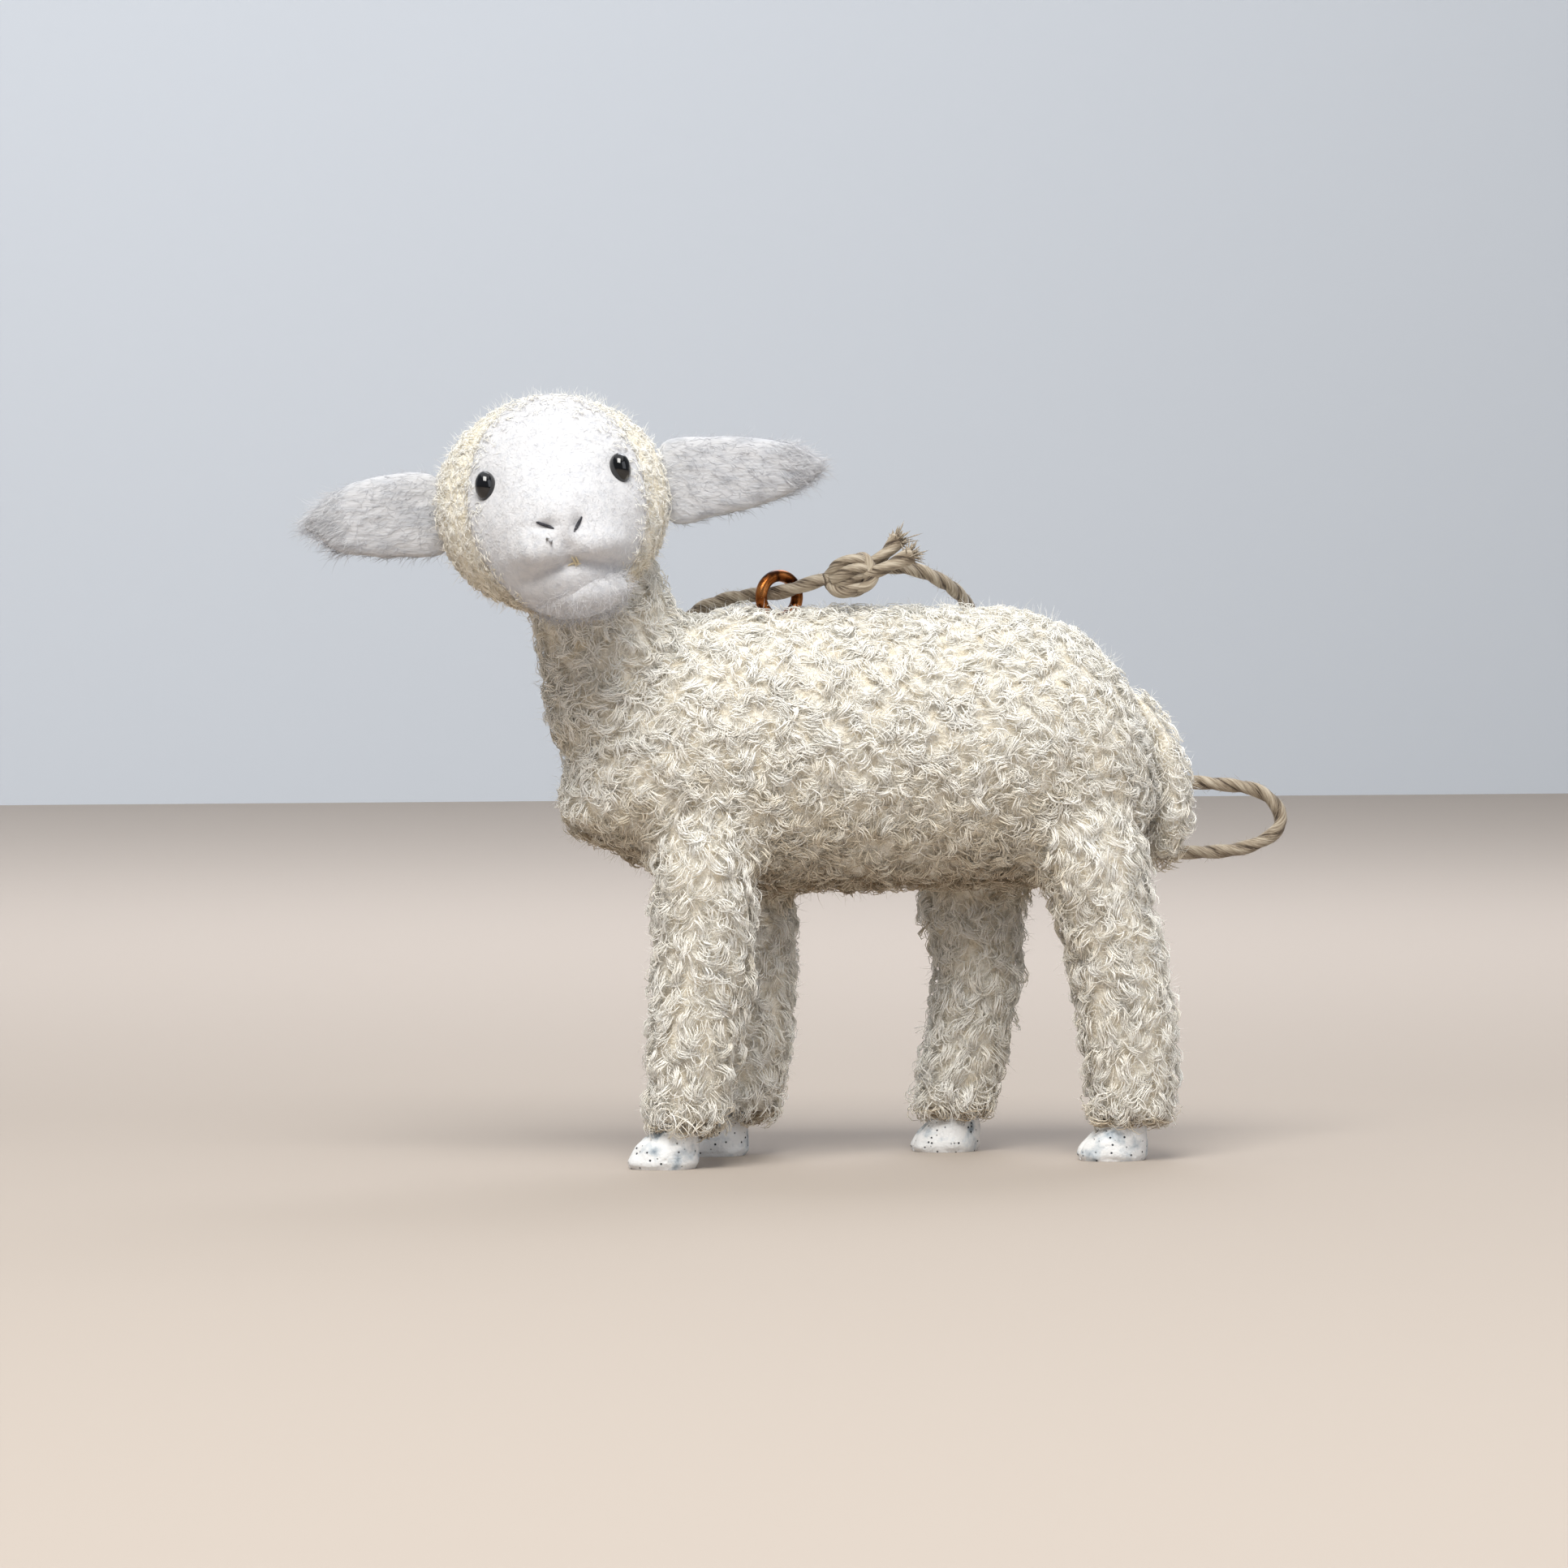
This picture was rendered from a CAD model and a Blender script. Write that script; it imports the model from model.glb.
"""A standing lamb ornament: curly fleece over a padded core, felt ears and face, cast plaster
hooves, a coppered screw eye and a knotted loop of hemp twine. Lengths are in metres; sizes that
are easier to read in millimetres are multiplied by MM where they are used."""

import logging
import math
from dataclasses import dataclass, field, replace
from enum import Enum

import bpy
import numpy as np
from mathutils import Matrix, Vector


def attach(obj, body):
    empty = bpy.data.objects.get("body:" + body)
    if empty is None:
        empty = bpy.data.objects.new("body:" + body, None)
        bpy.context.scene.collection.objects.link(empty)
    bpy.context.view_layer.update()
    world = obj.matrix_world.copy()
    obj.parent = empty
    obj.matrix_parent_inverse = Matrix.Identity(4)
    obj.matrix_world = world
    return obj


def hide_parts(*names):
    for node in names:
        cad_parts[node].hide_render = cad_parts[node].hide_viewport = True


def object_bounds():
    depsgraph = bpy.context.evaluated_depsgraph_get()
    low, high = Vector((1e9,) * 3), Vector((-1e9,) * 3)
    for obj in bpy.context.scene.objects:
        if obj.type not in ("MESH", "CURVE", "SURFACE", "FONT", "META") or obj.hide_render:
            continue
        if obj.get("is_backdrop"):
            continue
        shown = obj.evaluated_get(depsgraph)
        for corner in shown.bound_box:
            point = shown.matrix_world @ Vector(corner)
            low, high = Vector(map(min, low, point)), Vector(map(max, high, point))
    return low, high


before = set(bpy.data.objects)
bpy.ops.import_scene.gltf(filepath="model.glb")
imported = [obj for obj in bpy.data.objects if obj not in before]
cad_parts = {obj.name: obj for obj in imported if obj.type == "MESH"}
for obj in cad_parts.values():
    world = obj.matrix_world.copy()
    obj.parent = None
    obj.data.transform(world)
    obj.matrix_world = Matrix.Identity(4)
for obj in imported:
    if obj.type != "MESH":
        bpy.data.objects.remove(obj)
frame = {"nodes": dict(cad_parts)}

log = logging.getLogger("lamb")
MM = 0.001
BAKE_UV = "OFBake"


class Body(Enum):
    """What a piece rides on."""

    LAMB = "lamb"
    LEFT_EAR = "left_ear"
    RIGHT_EAR = "right_ear"
    TAIL = "tail"


# ---- node trees and colours ---------------------------------------------------------------
def linear(code: str) -> tuple[float, float, float, float]:
    """Turns an sRGB hex colour such as "#f4eee0" into linear RGBA.

    Args:
        code: the colour, six hex digits after a hash.

    Returns:
        The linear red, green and blue, and an alpha of 1.
    """
    parts = [int(code[i : i + 2], 16) / 255 for i in (1, 3, 5)]
    low = [c / 12.92 if c <= 0.04045 else ((c + 0.055) / 1.055) ** 2.4 for c in parts]
    return (low[0], low[1], low[2], 1.0)


# node kinds, and the places of a colour Mix node's sockets
RAMP, NOISE, BUMP = "ShaderNodeValToRGB", "ShaderNodeTexNoise", "ShaderNodeBump"
MIX, MATH, ATTRIBUTE = "ShaderNodeMix", "ShaderNodeMath", "ShaderNodeAttribute"
MIX_FACTOR, MIX_A, MIX_B, MIXED = 0, 6, 7, 2


def put(
    tree: bpy.types.NodeTree,
    kind: str,
    settings: dict | None = None,
    links: dict | None = None,
    feeds: dict | None = None,
) -> bpy.types.Node:
    """Adds one node to a tree.

    Args:
        tree: the material's node tree.
        kind: the node's type.
        settings: values by property name, input name or input number. A colour ramp's "stops" are
            positions from 0 to 1, each with a hex colour.
        links: (node, output name) by input name or number.
        feeds: (node, input name) by output name or number.

    Returns:
        The new node.
    """
    node = tree.nodes.new(kind)
    for name, value in (settings or {}).items():
        if name == "stops":
            elements = node.color_ramp.elements
            while len(elements) < len(value):
                elements.new(0.5)
            for element, (position, code) in zip(elements, value):
                element.position, element.color = position, linear(code)
        elif isinstance(name, str) and hasattr(node, name) and name not in node.inputs:
            setattr(node, name, value)
        else:
            node.inputs[name].default_value = value
    for name, (source, output) in (links or {}).items():
        tree.links.new(source.outputs[output], node.inputs[name])
    for output, (target, name) in (feeds or {}).items():
        tree.links.new(node.outputs[output], target.inputs[name])
    return node


@dataclass(frozen=True)
class Finish:
    """A named finish and the shader numbers that are the same all over it."""

    name: str
    slot: str
    roughness: float
    metallic: float = 0.0
    sheen: float = 0.0
    coat: float = 0.0

    def build(self) -> bpy.types.Material:
        """Makes the material: one shader with its even numbers, then the finish's patterns."""
        material = bpy.data.materials.new(self.name)
        material.use_nodes = True
        tree = material.node_tree
        tree.nodes.clear()
        settings = {"Roughness": self.roughness, "Metallic": self.metallic}
        if self.sheen:
            settings |= {"Sheen Weight": self.sheen, "Sheen Roughness": 0.5}
        if self.coat:
            settings |= {"Coat Weight": self.coat, "Coat Roughness": 0.03}
        shader = put(tree, "ShaderNodeBsdfPrincipled", settings)
        put(tree, "ShaderNodeOutputMaterial", links={"Surface": (shader, "BSDF")})
        self.paint(tree, shader)
        return material

    def paint(self, tree: bpy.types.NodeTree, shader: bpy.types.Node) -> None:
        """Adds the finish's own patterns to its shader."""
        raise NotImplementedError(self.name)

    @staticmethod
    def spots(
        tree: bpy.types.NodeTree, size_mm: float, detail: float = 3.0, stretch: tuple = (1, 1, 1)
    ) -> bpy.types.Node:
        """Adds a pattern of noise whose patches are about size_mm across in object space.

        Args:
            tree: the material's node tree.
            size_mm: the width of one patch.
            detail: octaves of finer noise.
            stretch: scale of the pattern along X, Y and Z.

        Returns:
            The noise node.
        """
        coords = put(tree, "ShaderNodeTexCoord")
        mapping = put(tree, "ShaderNodeMapping", {"Scale": stretch}, {"Vector": (coords, "Object")})
        settings = {"Scale": 1 / (size_mm * MM), "Detail": detail}
        return put(tree, NOISE, settings, {"Vector": (mapping, "Vector")})


@dataclass(frozen=True)
class CurledWool(Finish):
    """Mohair boucle curls: soft fibres, beige near the backing and cream at the top of a curl."""

    deep: str = "#a68e6f"
    low: str = "#efe5d1"
    mid: str = "#fdfaf2"
    high: str = "#fffffc"

    def paint(self, tree: bpy.types.NodeTree, shader: bpy.types.Node) -> None:
        """Colours each fibre by its "tone" attribute.

        Args:
            tree: the material's node tree.
            shader: its shader.
        """
        tone = put(tree, ATTRIBUTE, {"attribute_name": "tone"})
        stops = [(0.0, self.deep), (0.35, self.low), (0.65, self.mid), (1.0, self.high)]
        put(tree, RAMP, {"stops": stops}, {"Fac": (tone, "Fac")}, {"Color": (shader, "Base Color")})


@dataclass(frozen=True)
class Mottled(Finish):
    """Close shades in soft patches, and a relief that the light catches.

    stops are the shades; patch and grain are each a width in mm, octaves and a stretch, and with
    no grain of its own the relief follows the patches. A depth of 0 leaves the surface smooth.
    """

    stops: tuple = ()
    patch: tuple = (1.5, 4.0)
    grain: tuple | None = None
    depth_mm: float = 0.05

    def paint(self, tree: bpy.types.NodeTree, shader: bpy.types.Node) -> None:
        """Colours the patches and raises the grain.

        Args:
            tree: the material's node tree.
            shader: its shader.
        """
        patches = self.spots(tree, *self.patch)
        feeds = {"Color": (shader, "Base Color")}
        put(tree, RAMP, {"stops": self.stops}, {"Fac": (patches, "Fac")}, feeds)
        if self.depth_mm:
            grain = self.spots(tree, *self.grain) if self.grain else patches
            height, feeds = {"Height": (grain, "Fac")}, {"Normal": (shader, "Normal")}
            put(tree, BUMP, {"Distance": self.depth_mm * MM}, height, feeds)


@dataclass(frozen=True)
class NeedleFelt(Finish):
    """White wool matted with a felting needle: faint fibre streaks and grey specks."""

    shade: str = "#c6c8ce"
    white: str = "#d6d6d9"
    grey: str = "#adb1bb"
    speck_share: float = 0.62
    stretch: tuple = (1, 1, 1)

    def paint(self, tree: bpy.types.NodeTree, shader: bpy.types.Node) -> None:
        """Mixes the specks over the streaks, and raises single fibres.

        Args:
            tree: the material's node tree.
            shader: its shader.
        """
        streaks = self.spots(tree, 0.9, 6.0, self.stretch)
        stops = [(0.25, self.shade), (0.55, self.white)]
        base = put(tree, RAMP, {"stops": stops}, {"Fac": (streaks, "Fac")})
        specks = self.spots(tree, 1.3, 8.0)
        stops = [(self.speck_share, "#000000"), (self.speck_share + 0.1, "#5a5a5a")]
        amount = put(tree, RAMP, {"stops": stops}, {"Fac": (specks, "Fac")})
        links = {MIX_FACTOR: (amount, "Color"), MIX_A: (base, "Color")}
        settings = {"data_type": "RGBA", MIX_B: linear(self.grey)}
        put(tree, MIX, settings, links, {MIXED: (shader, "Base Color")})
        fibres = self.spots(tree, 0.35, 5.0, self.stretch)
        height, feeds = {"Height": (fibres, "Fac")}, {"Normal": (shader, "Normal")}
        put(tree, BUMP, {"Distance": 0.13 * MM}, height, feeds)


@dataclass(frozen=True)
class Plaster(Finish):
    """Cast plaster: chalk white, air pits, and blue-grey stains rubbed into the low places."""

    def paint(self, tree: bpy.types.NodeTree, shader: bpy.types.Node) -> None:
        """Multiplies the stains by the dark of the pits, and roughens both with grit.

        Args:
            tree: the material's node tree.
            shader: its shader.
        """
        stain = self.spots(tree, 3.0, 7.0)
        stops = [(0.33, "#8a96a2"), (0.41, "#c9d0d6"), (0.5, "#ebeced")]
        colour = put(tree, RAMP, {"stops": stops}, {"Fac": (stain, "Fac")})
        coords = put(tree, "ShaderNodeTexCoord")
        pits_1mm = {"Scale": 1 / (1.0 * MM)}
        pits = put(tree, "ShaderNodeTexVoronoi", pits_1mm, {"Vector": (coords, "Object")})
        stops = [(0.1, "#2e343c"), (0.19, "#ffffff")]
        hole = put(tree, RAMP, {"stops": stops}, {"Fac": (pits, "Distance")})
        settings = {"data_type": "RGBA", "blend_type": "MULTIPLY", MIX_FACTOR: 1.0}
        links = {MIX_A: (colour, "Color"), MIX_B: (hole, "Color")}
        put(tree, MIX, settings, links, {MIXED: (shader, "Base Color")})
        grit = self.spots(tree, 0.4, 6.0)
        height = put(tree, MATH, {"operation": "ADD"}, {0: (grit, "Fac"), 1: (hole, "Color")})
        links, feeds = {"Height": (height, "Value")}, {"Normal": (shader, "Normal")}
        put(tree, BUMP, {"Distance": 0.12 * MM}, links, feeds)


@dataclass(frozen=True)
class HempTwine(Finish):
    """Laid hemp twine: beige bast fibres, darker in the grooves between its yarns."""

    def paint(self, tree: bpy.types.NodeTree, shader: bpy.types.Node) -> None:
        """Colours by the fibres and the "groove" attribute, 0 in a groove and 1 on a yarn.

        Args:
            tree: the material's node tree.
            shader: its shader.
        """
        yarn = put(tree, ATTRIBUTE, {"attribute_name": "yarn"})
        fibre = put(tree, NOISE, {"Scale": 3.0, "Detail": 4.0}, {"Vector": (yarn, "Vector")})
        groove = put(tree, ATTRIBUTE, {"attribute_name": "groove"})
        scaled = {"operation": "MULTIPLY_ADD"}
        share = put(tree, MATH, scaled | {1: 0.2, 2: 0.06}, {0: (groove, "Fac")})
        blend = put(tree, MATH, scaled | {1: 0.7}, {0: (fibre, "Fac"), 2: (share, "Value")})
        stops = [(0.36, "#43372c"), (0.46, "#7d6f5d"), (0.58, "#a39683"), (0.72, "#c4b9a7")]
        feeds = {"Color": (shader, "Base Color")}
        put(tree, RAMP, {"stops": stops}, {"Fac": (blend, "Value")}, feeds)
        height, feeds = {"Height": (fibre, "Fac")}, {"Normal": (shader, "Normal")}
        put(tree, BUMP, {"Distance": 0.16 * MM}, height, feeds)


# ---- meshes -------------------------------------------------------------------------------
@dataclass
class Shell:
    """Vertices and triangles, with point attributes and face-corner UVs for the export's bake."""

    points: np.ndarray
    faces: np.ndarray
    uv: np.ndarray | None = None
    values: dict[str, np.ndarray] = field(default_factory=dict)

    @staticmethod
    def join(shells: list["Shell"]) -> "Shell":
        """Puts several shells into one, their UVs and attributes with them.

        Args:
            shells: shells that all have, or all lack, UVs and the same attributes.

        Returns:
            One shell.
        """
        starts = np.cumsum([0] + [len(s.points) for s in shells[:-1]])
        uv = None if shells[0].uv is None else np.concatenate([s.uv for s in shells])
        values = {k: np.concatenate([s.values[k] for s in shells]) for k in shells[0].values}
        faces = np.concatenate([s.faces + start for s, start in zip(shells, starts)])
        return Shell(np.concatenate([s.points for s in shells]), faces, uv, values)

    def middles(self) -> np.ndarray:
        """The middle of each triangle."""
        return self.points[self.faces].mean(1)

    def raised(self, heights: np.ndarray) -> "Shell":
        """The shell with each point moved out along its normal by its height."""
        points = self.points + corner_normals(self) * heights[:, None]
        return Shell(points, self.faces, self.uv, self.values)

    def to_object(self, name: str, finish: Finish, material: bpy.types.Material) -> bpy.types.Object:
        """Makes the mesh object, smooth shaded, in the scene.

        Args:
            name: the piece's name.
            finish: gives the record's material slot.
            material: the material made from that finish.

        Returns:
            The new object.
        """
        mesh = bpy.data.meshes.new(name)
        mesh.vertices.add(len(self.points))
        mesh.vertices.foreach_set("co", self.points.astype(np.float32).ravel())
        mesh.loops.add(self.faces.size)
        mesh.loops.foreach_set("vertex_index", self.faces.astype(np.int32).ravel())
        mesh.polygons.add(len(self.faces))
        mesh.polygons.foreach_set("loop_start", np.arange(0, self.faces.size, 3, dtype=np.int32))
        mesh.update(calc_edges=True)
        if self.uv is not None:
            layer = mesh.uv_layers.new(name=BAKE_UV)
            layer.data.foreach_set("uv", self.uv.astype(np.float32).ravel())
        for key, values in self.values.items():
            kind, slot = ("FLOAT", "value") if values.ndim == 1 else ("FLOAT_VECTOR", "vector")
            attribute = mesh.attributes.new(key, kind, "POINT")
            attribute.data.foreach_set(slot, values.astype(np.float32).ravel())
        mesh.polygons.foreach_set("use_smooth", np.ones(len(self.faces), dtype=bool))
        mesh.materials.append(material)
        obj = bpy.data.objects.new(name, mesh)
        bpy.context.scene.collection.objects.link(obj)
        return obj


def circle(count: int) -> np.ndarray:
    """Even angles round one full turn."""
    return np.linspace(0, 2 * np.pi, count, endpoint=False)


def unit(v: np.ndarray) -> np.ndarray:
    """Returns the vectors at length 1."""
    return v / np.maximum(np.linalg.norm(v, axis=-1, keepdims=True), 1e-12)


def grid_faces(rows: int, columns: int) -> np.ndarray:
    """Triangles over a grid of points, row after row, whose last column joins the first.

    Args:
        rows: points along the surface.
        columns: points around it.

    Returns:
        The triangles' corners, facing out where the rows run along the turn's right-hand axis.
    """
    i, j = np.meshgrid(np.arange(rows - 1), np.arange(columns), indexing="ij")
    k = (j + 1) % columns
    a, b, c, d = i * columns + j, i * columns + k, (i + 1) * columns + k, (i + 1) * columns + j
    halves = np.stack([a, b, c], -1), np.stack([a, c, d], -1)
    return np.concatenate([half.reshape(-1, 3) for half in halves])


def closed_tube(rings: np.ndarray) -> Shell:
    """A closed skin over rings of points, with a fan to each end ring's middle.

    Args:
        rings: points as (along, around, 3).

    Returns:
        The shell, with UVs that run around in u and along in v.
    """
    rows, columns, _ = rings.shape
    points = np.concatenate([rings.reshape(-1, 3), rings[0].mean(0)[None], rings[-1].mean(0)[None]])
    j = np.arange(columns)
    k = (j + 1) % columns
    start, end, last = rows * columns, rows * columns + 1, (rows - 1) * columns
    caps = [
        np.stack([np.full(columns, start), k, j], -1),
        np.stack([np.full(columns, end), last + j, last + k], -1),
    ]
    faces = np.concatenate([grid_faces(rows, columns), *caps])
    u = np.append(np.tile(j / columns, rows), [0.5, 0.5])
    v = np.append(np.repeat(np.linspace(0.02, 0.98, rows), columns), [0.0, 1.0])
    uv = np.stack([u[faces], v[faces]], -1)
    spread = uv[..., 0].max(1) - uv[..., 0].min(1) > 0.5
    uv[spread, :, 0] = np.where(uv[spread, :, 0] < 0.5, uv[spread, :, 0] + 1.0, uv[spread, :, 0])
    uv[..., 0] *= columns / (columns + 1)
    return Shell(points, faces, uv.reshape(-1, 2))


def smooth_through(keys: np.ndarray, count: int) -> np.ndarray:
    """Catmull-Rom curve through rows of numbers.

    Each stretch is the cubic that meets its two keys with slopes half the difference of their
    neighbours, and the end keys' neighbours are mirrored.

    Args:
        keys: one row for each key.
        count: how many rows to return.

    Returns:
        The rows along the curve, spaced evenly by key.
    """
    padded = np.concatenate([[2 * keys[0] - keys[1]], keys, [2 * keys[-1] - keys[-2]]])
    t = np.linspace(0, len(keys) - 1, count)
    i = np.minimum(t.astype(int), len(keys) - 2)
    s = (t - i)[:, None]
    p0, p1, p2, p3 = (padded[i + n] for n in range(4))
    square, cube = 2 * p0 - 5 * p1 + 4 * p2 - p3, 3 * p1 - p0 - 3 * p2 + p3
    return 0.5 * (2 * p1 + (p2 - p0) * s + square * s**2 + cube * s**3)


def evenly(path: np.ndarray, step: float) -> np.ndarray:
    """Returns the path's points again at an even spacing close to step.

    Args:
        path: the points.
        step: the spacing, rounded so that a whole number of steps fits.

    Returns:
        The new points.
    """
    gaps = np.linalg.norm(np.diff(path, axis=0), axis=1)
    along = np.concatenate([[0], np.cumsum(gaps)])
    count = max(int(round(along[-1] / step)) + 1, 2)
    at = np.linspace(0, along[-1], count)
    return np.stack([np.interp(at, along, path[:, n]) for n in range(3)], -1)


@dataclass
class Loft:
    """Ellipses along a spine: keys are (x, y, z, a, b) in millimetres, with the half axes a and b
    along two fixed directions."""

    keys: np.ndarray
    across: np.ndarray
    upward: np.ndarray

    def grown(self, by: float) -> "Loft":
        """The same loft with its half axes grown by some millimetres, and its spine with them.

        Args:
            by: how far, negative to shrink.

        Returns:
            The new loft.
        """
        keys = np.array(self.keys, dtype=float)
        middle = (keys[0, :3] + keys[-1, :3]) / 2
        length = np.linalg.norm(keys[-1, :3] - keys[0, :3])
        keys[:, :3] = middle + (keys[:, :3] - middle) * (1 + 2 * by / length)
        keys[:, 3:] = np.maximum(keys[:, 3:] + by, 0.3)
        return Loft(keys, self.across, self.upward)

    def rings(self, along: int, around: int) -> np.ndarray:
        """Points as (along, around, 3): centre + a cos(t) across + b sin(t) upward.

        Args:
            along: rings along the spine.
            around: points on each ring.

        Returns:
            The points in millimetres.
        """
        rows = smooth_through(np.asarray(self.keys, dtype=float), along)
        turn = circle(around)
        halves = np.maximum(rows[:, 3:], 0.05)
        return (
            rows[:, None, :3]
            + (halves[:, None, 0] * np.cos(turn))[..., None] * self.across
            + (halves[:, None, 1] * np.sin(turn))[..., None] * self.upward
        )

    def shell(self, along: int, around: int) -> Shell:
        """The closed skin, facing out whichever way the keys run."""
        rings = self.rings(along, around)
        run = rings[-1].mean(0) - rings[0].mean(0)
        return closed_tube(rings if run @ np.cross(self.across, self.upward) > 0 else rings[::-1])

    def level(self, points: np.ndarray) -> np.ndarray:
        """Rough distance in millimetres outside the skin, and far past either end.

        Args:
            points: places in millimetres, (..., 3).

        Returns:
            Negative inside and positive outside.
        """
        axis = unit(np.cross(self.across, self.upward))
        rows = smooth_through(np.asarray(self.keys, dtype=float), 120)
        place = rows[:, :3] @ axis
        order = np.argsort(place)
        at = points @ axis
        centre = np.stack([np.interp(at, place[order], rows[order, n]) for n in range(3)], -1)
        a, b = (np.maximum(np.interp(at, place[order], rows[order, n]), 0.05) for n in (3, 4))
        offset = points - centre
        ratio = np.hypot((offset @ self.across) / a, (offset @ self.upward) / b)
        past = np.maximum(place.min() - at, 0) + np.maximum(at - place.max(), 0)
        return (ratio - 1) * np.minimum(a, b) + past


# ---- random but repeatable wool ---------------------------------------------------------------
def scramble(whole: np.ndarray, salt: int) -> np.ndarray:
    """Even numbers from 0 to 1 worked out from whole numbers by mixing their bits.

    Args:
        whole: the whole numbers.
        salt: makes one set of results differ from another.

    Returns:
        The numbers, always the same for the same input.
    """
    h = whole.astype(np.uint64) + np.uint64(salt) * np.uint64(0x9E3779B97F4A7C15)
    h = (h ^ (h >> np.uint64(30))) * np.uint64(0xBF58476D1CE4E5B9)
    h = (h ^ (h >> np.uint64(27))) * np.uint64(0x94D049BB133111EB)
    h = h ^ (h >> np.uint64(31))
    return (h >> np.uint64(11)).astype(np.float64) / float(1 << 53)


CELL_PRIMES = np.array([73856093, 19349663, 83492791])  # they tell a lattice's cells apart


def locks(points: np.ndarray, size: float, salt: int) -> tuple[np.ndarray, np.ndarray]:
    """Gathers points into locks: each point joins the nearest of the jittered lattice centres.

    Args:
        points: places in millimetres, (N, 3).
        size: the lattice's spacing.
        salt: makes one gathering differ from another.

    Returns:
        Each point's lock number and its lock's centre.
    """
    cell = np.floor(points / size).astype(np.int64)
    best = np.full(len(points), np.inf)
    number = np.zeros(len(points), dtype=np.uint64)
    centre = np.zeros_like(points)
    for shift in np.ndindex(3, 3, 3):
        near = cell + np.array(shift) - 1
        mixed = near * CELL_PRIMES
        key = (mixed[:, 0] ^ mixed[:, 1] ^ mixed[:, 2]).astype(np.uint64)
        jitter = np.stack([scramble(key, salt + n) for n in range(3)], -1)
        spot = (near + jitter) * size
        gap = np.linalg.norm(spot - points, axis=1)
        closer = gap < best
        best = np.where(closer, gap, best)
        number = np.where(closer, key, number)
        centre = np.where(closer[:, None], spot, centre)
    return number, centre


SIDES = 3


def fibre_tubes(
    lines: np.ndarray, radii: np.ndarray, binormal: np.ndarray, tone: np.ndarray
) -> Shell:
    """Closed three-sided tubes with pointed ends along many centre lines at once.

    Args:
        lines: centre lines in metres, (fibres, points, 3).
        radii: the radius at each point, (fibres, points); the end points are tips.
        binormal: a direction for each fibre that its line doesn't run along, (fibres, 3).
        tone: the "tone" attribute at each point, (fibres, points).

    Returns:
        One shell, each fibre in a cell of its own in the UV square.
    """
    count, length, _ = lines.shape
    ahead = unit(np.gradient(lines, axis=1))
    side = unit(np.cross(binormal[:, None, :], ahead))
    other = np.cross(ahead, side)
    turn = np.arange(SIDES) * 2 * np.pi / SIDES
    inner = slice(1, length - 1)
    round_line = (
        np.cos(turn)[:, None] * side[:, inner, None, :]
        + np.sin(turn)[:, None] * other[:, inner, None, :]
    )
    rings = lines[:, inner, None, :] + radii[:, inner, None, None] * round_line
    each = SIDES * (length - 2) + 2
    points = np.concatenate([lines[:, :1], rings.reshape(count, -1, 3), lines[:, -1:]], axis=1)
    around_tone = np.repeat(tone[:, inner], SIDES, axis=1)
    tones = np.concatenate([tone[:, :1], around_tone, tone[:, -1:]], axis=1)

    j = np.arange(SIDES)
    k = (j + 1) % SIDES
    last = 1 + SIDES * (length - 3)
    body = grid_faces(length - 2, SIDES) + 1
    faces = np.concatenate([
        np.stack([np.zeros(SIDES, int), k + 1, j + 1], -1),
        body,
        np.stack([np.full(SIDES, each - 1), last + j, last + k], -1),
    ])
    around = np.concatenate([[0.5], np.tile(j / SIDES, length - 2), [0.5]])
    inner_along = np.repeat(np.arange(1, length - 1) / (length - 1), SIDES)
    along = np.concatenate([[0.0], inner_along, [1.0]])
    u = around[faces]
    wrapped = (u.max(1) - u.min(1)) > 0.5
    u[wrapped] = np.where(u[wrapped] == 0.0, 1.0, u[wrapped])
    cell = np.stack([0.1 + 0.8 * u, 0.08 + 0.84 * along[faces]], -1)
    cells = math.ceil(math.sqrt(count))
    number = np.arange(count)
    corner = np.stack([number % cells, number // cells], -1)
    uv = (corner[:, None, None, :] + cell[None]) / cells
    all_faces = faces[None] + (number * each)[:, None, None]
    values = {"tone": tones.reshape(-1)}
    return Shell(points.reshape(-1, 3), all_faces.reshape(-1, 3), uv.reshape(-1, 2), values)


# how much darker the wool's tone is where it faces straight down and has gathered dust
UNDERSIDE = 0.6


@dataclass(frozen=True)
class Pile:
    """How one stretch of fleece grows: sizes in millimetres, angles in turns."""

    per_mm2: float
    length: tuple[float, float] = (2.8, 4.4)
    curl: tuple[float, float] = (0.25, 0.75)
    rise: tuple[float, float] = (0.10, 0.19)
    radius: float = 0.095
    lock: float = 1.7
    gather: float = 0.55
    jitter: float = 0.16
    combed: tuple[float, float, float] = (0.0, 0.0, -0.35)
    tone: tuple[float, float] = (0.55, 1.0)
    steps: int = 6


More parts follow.
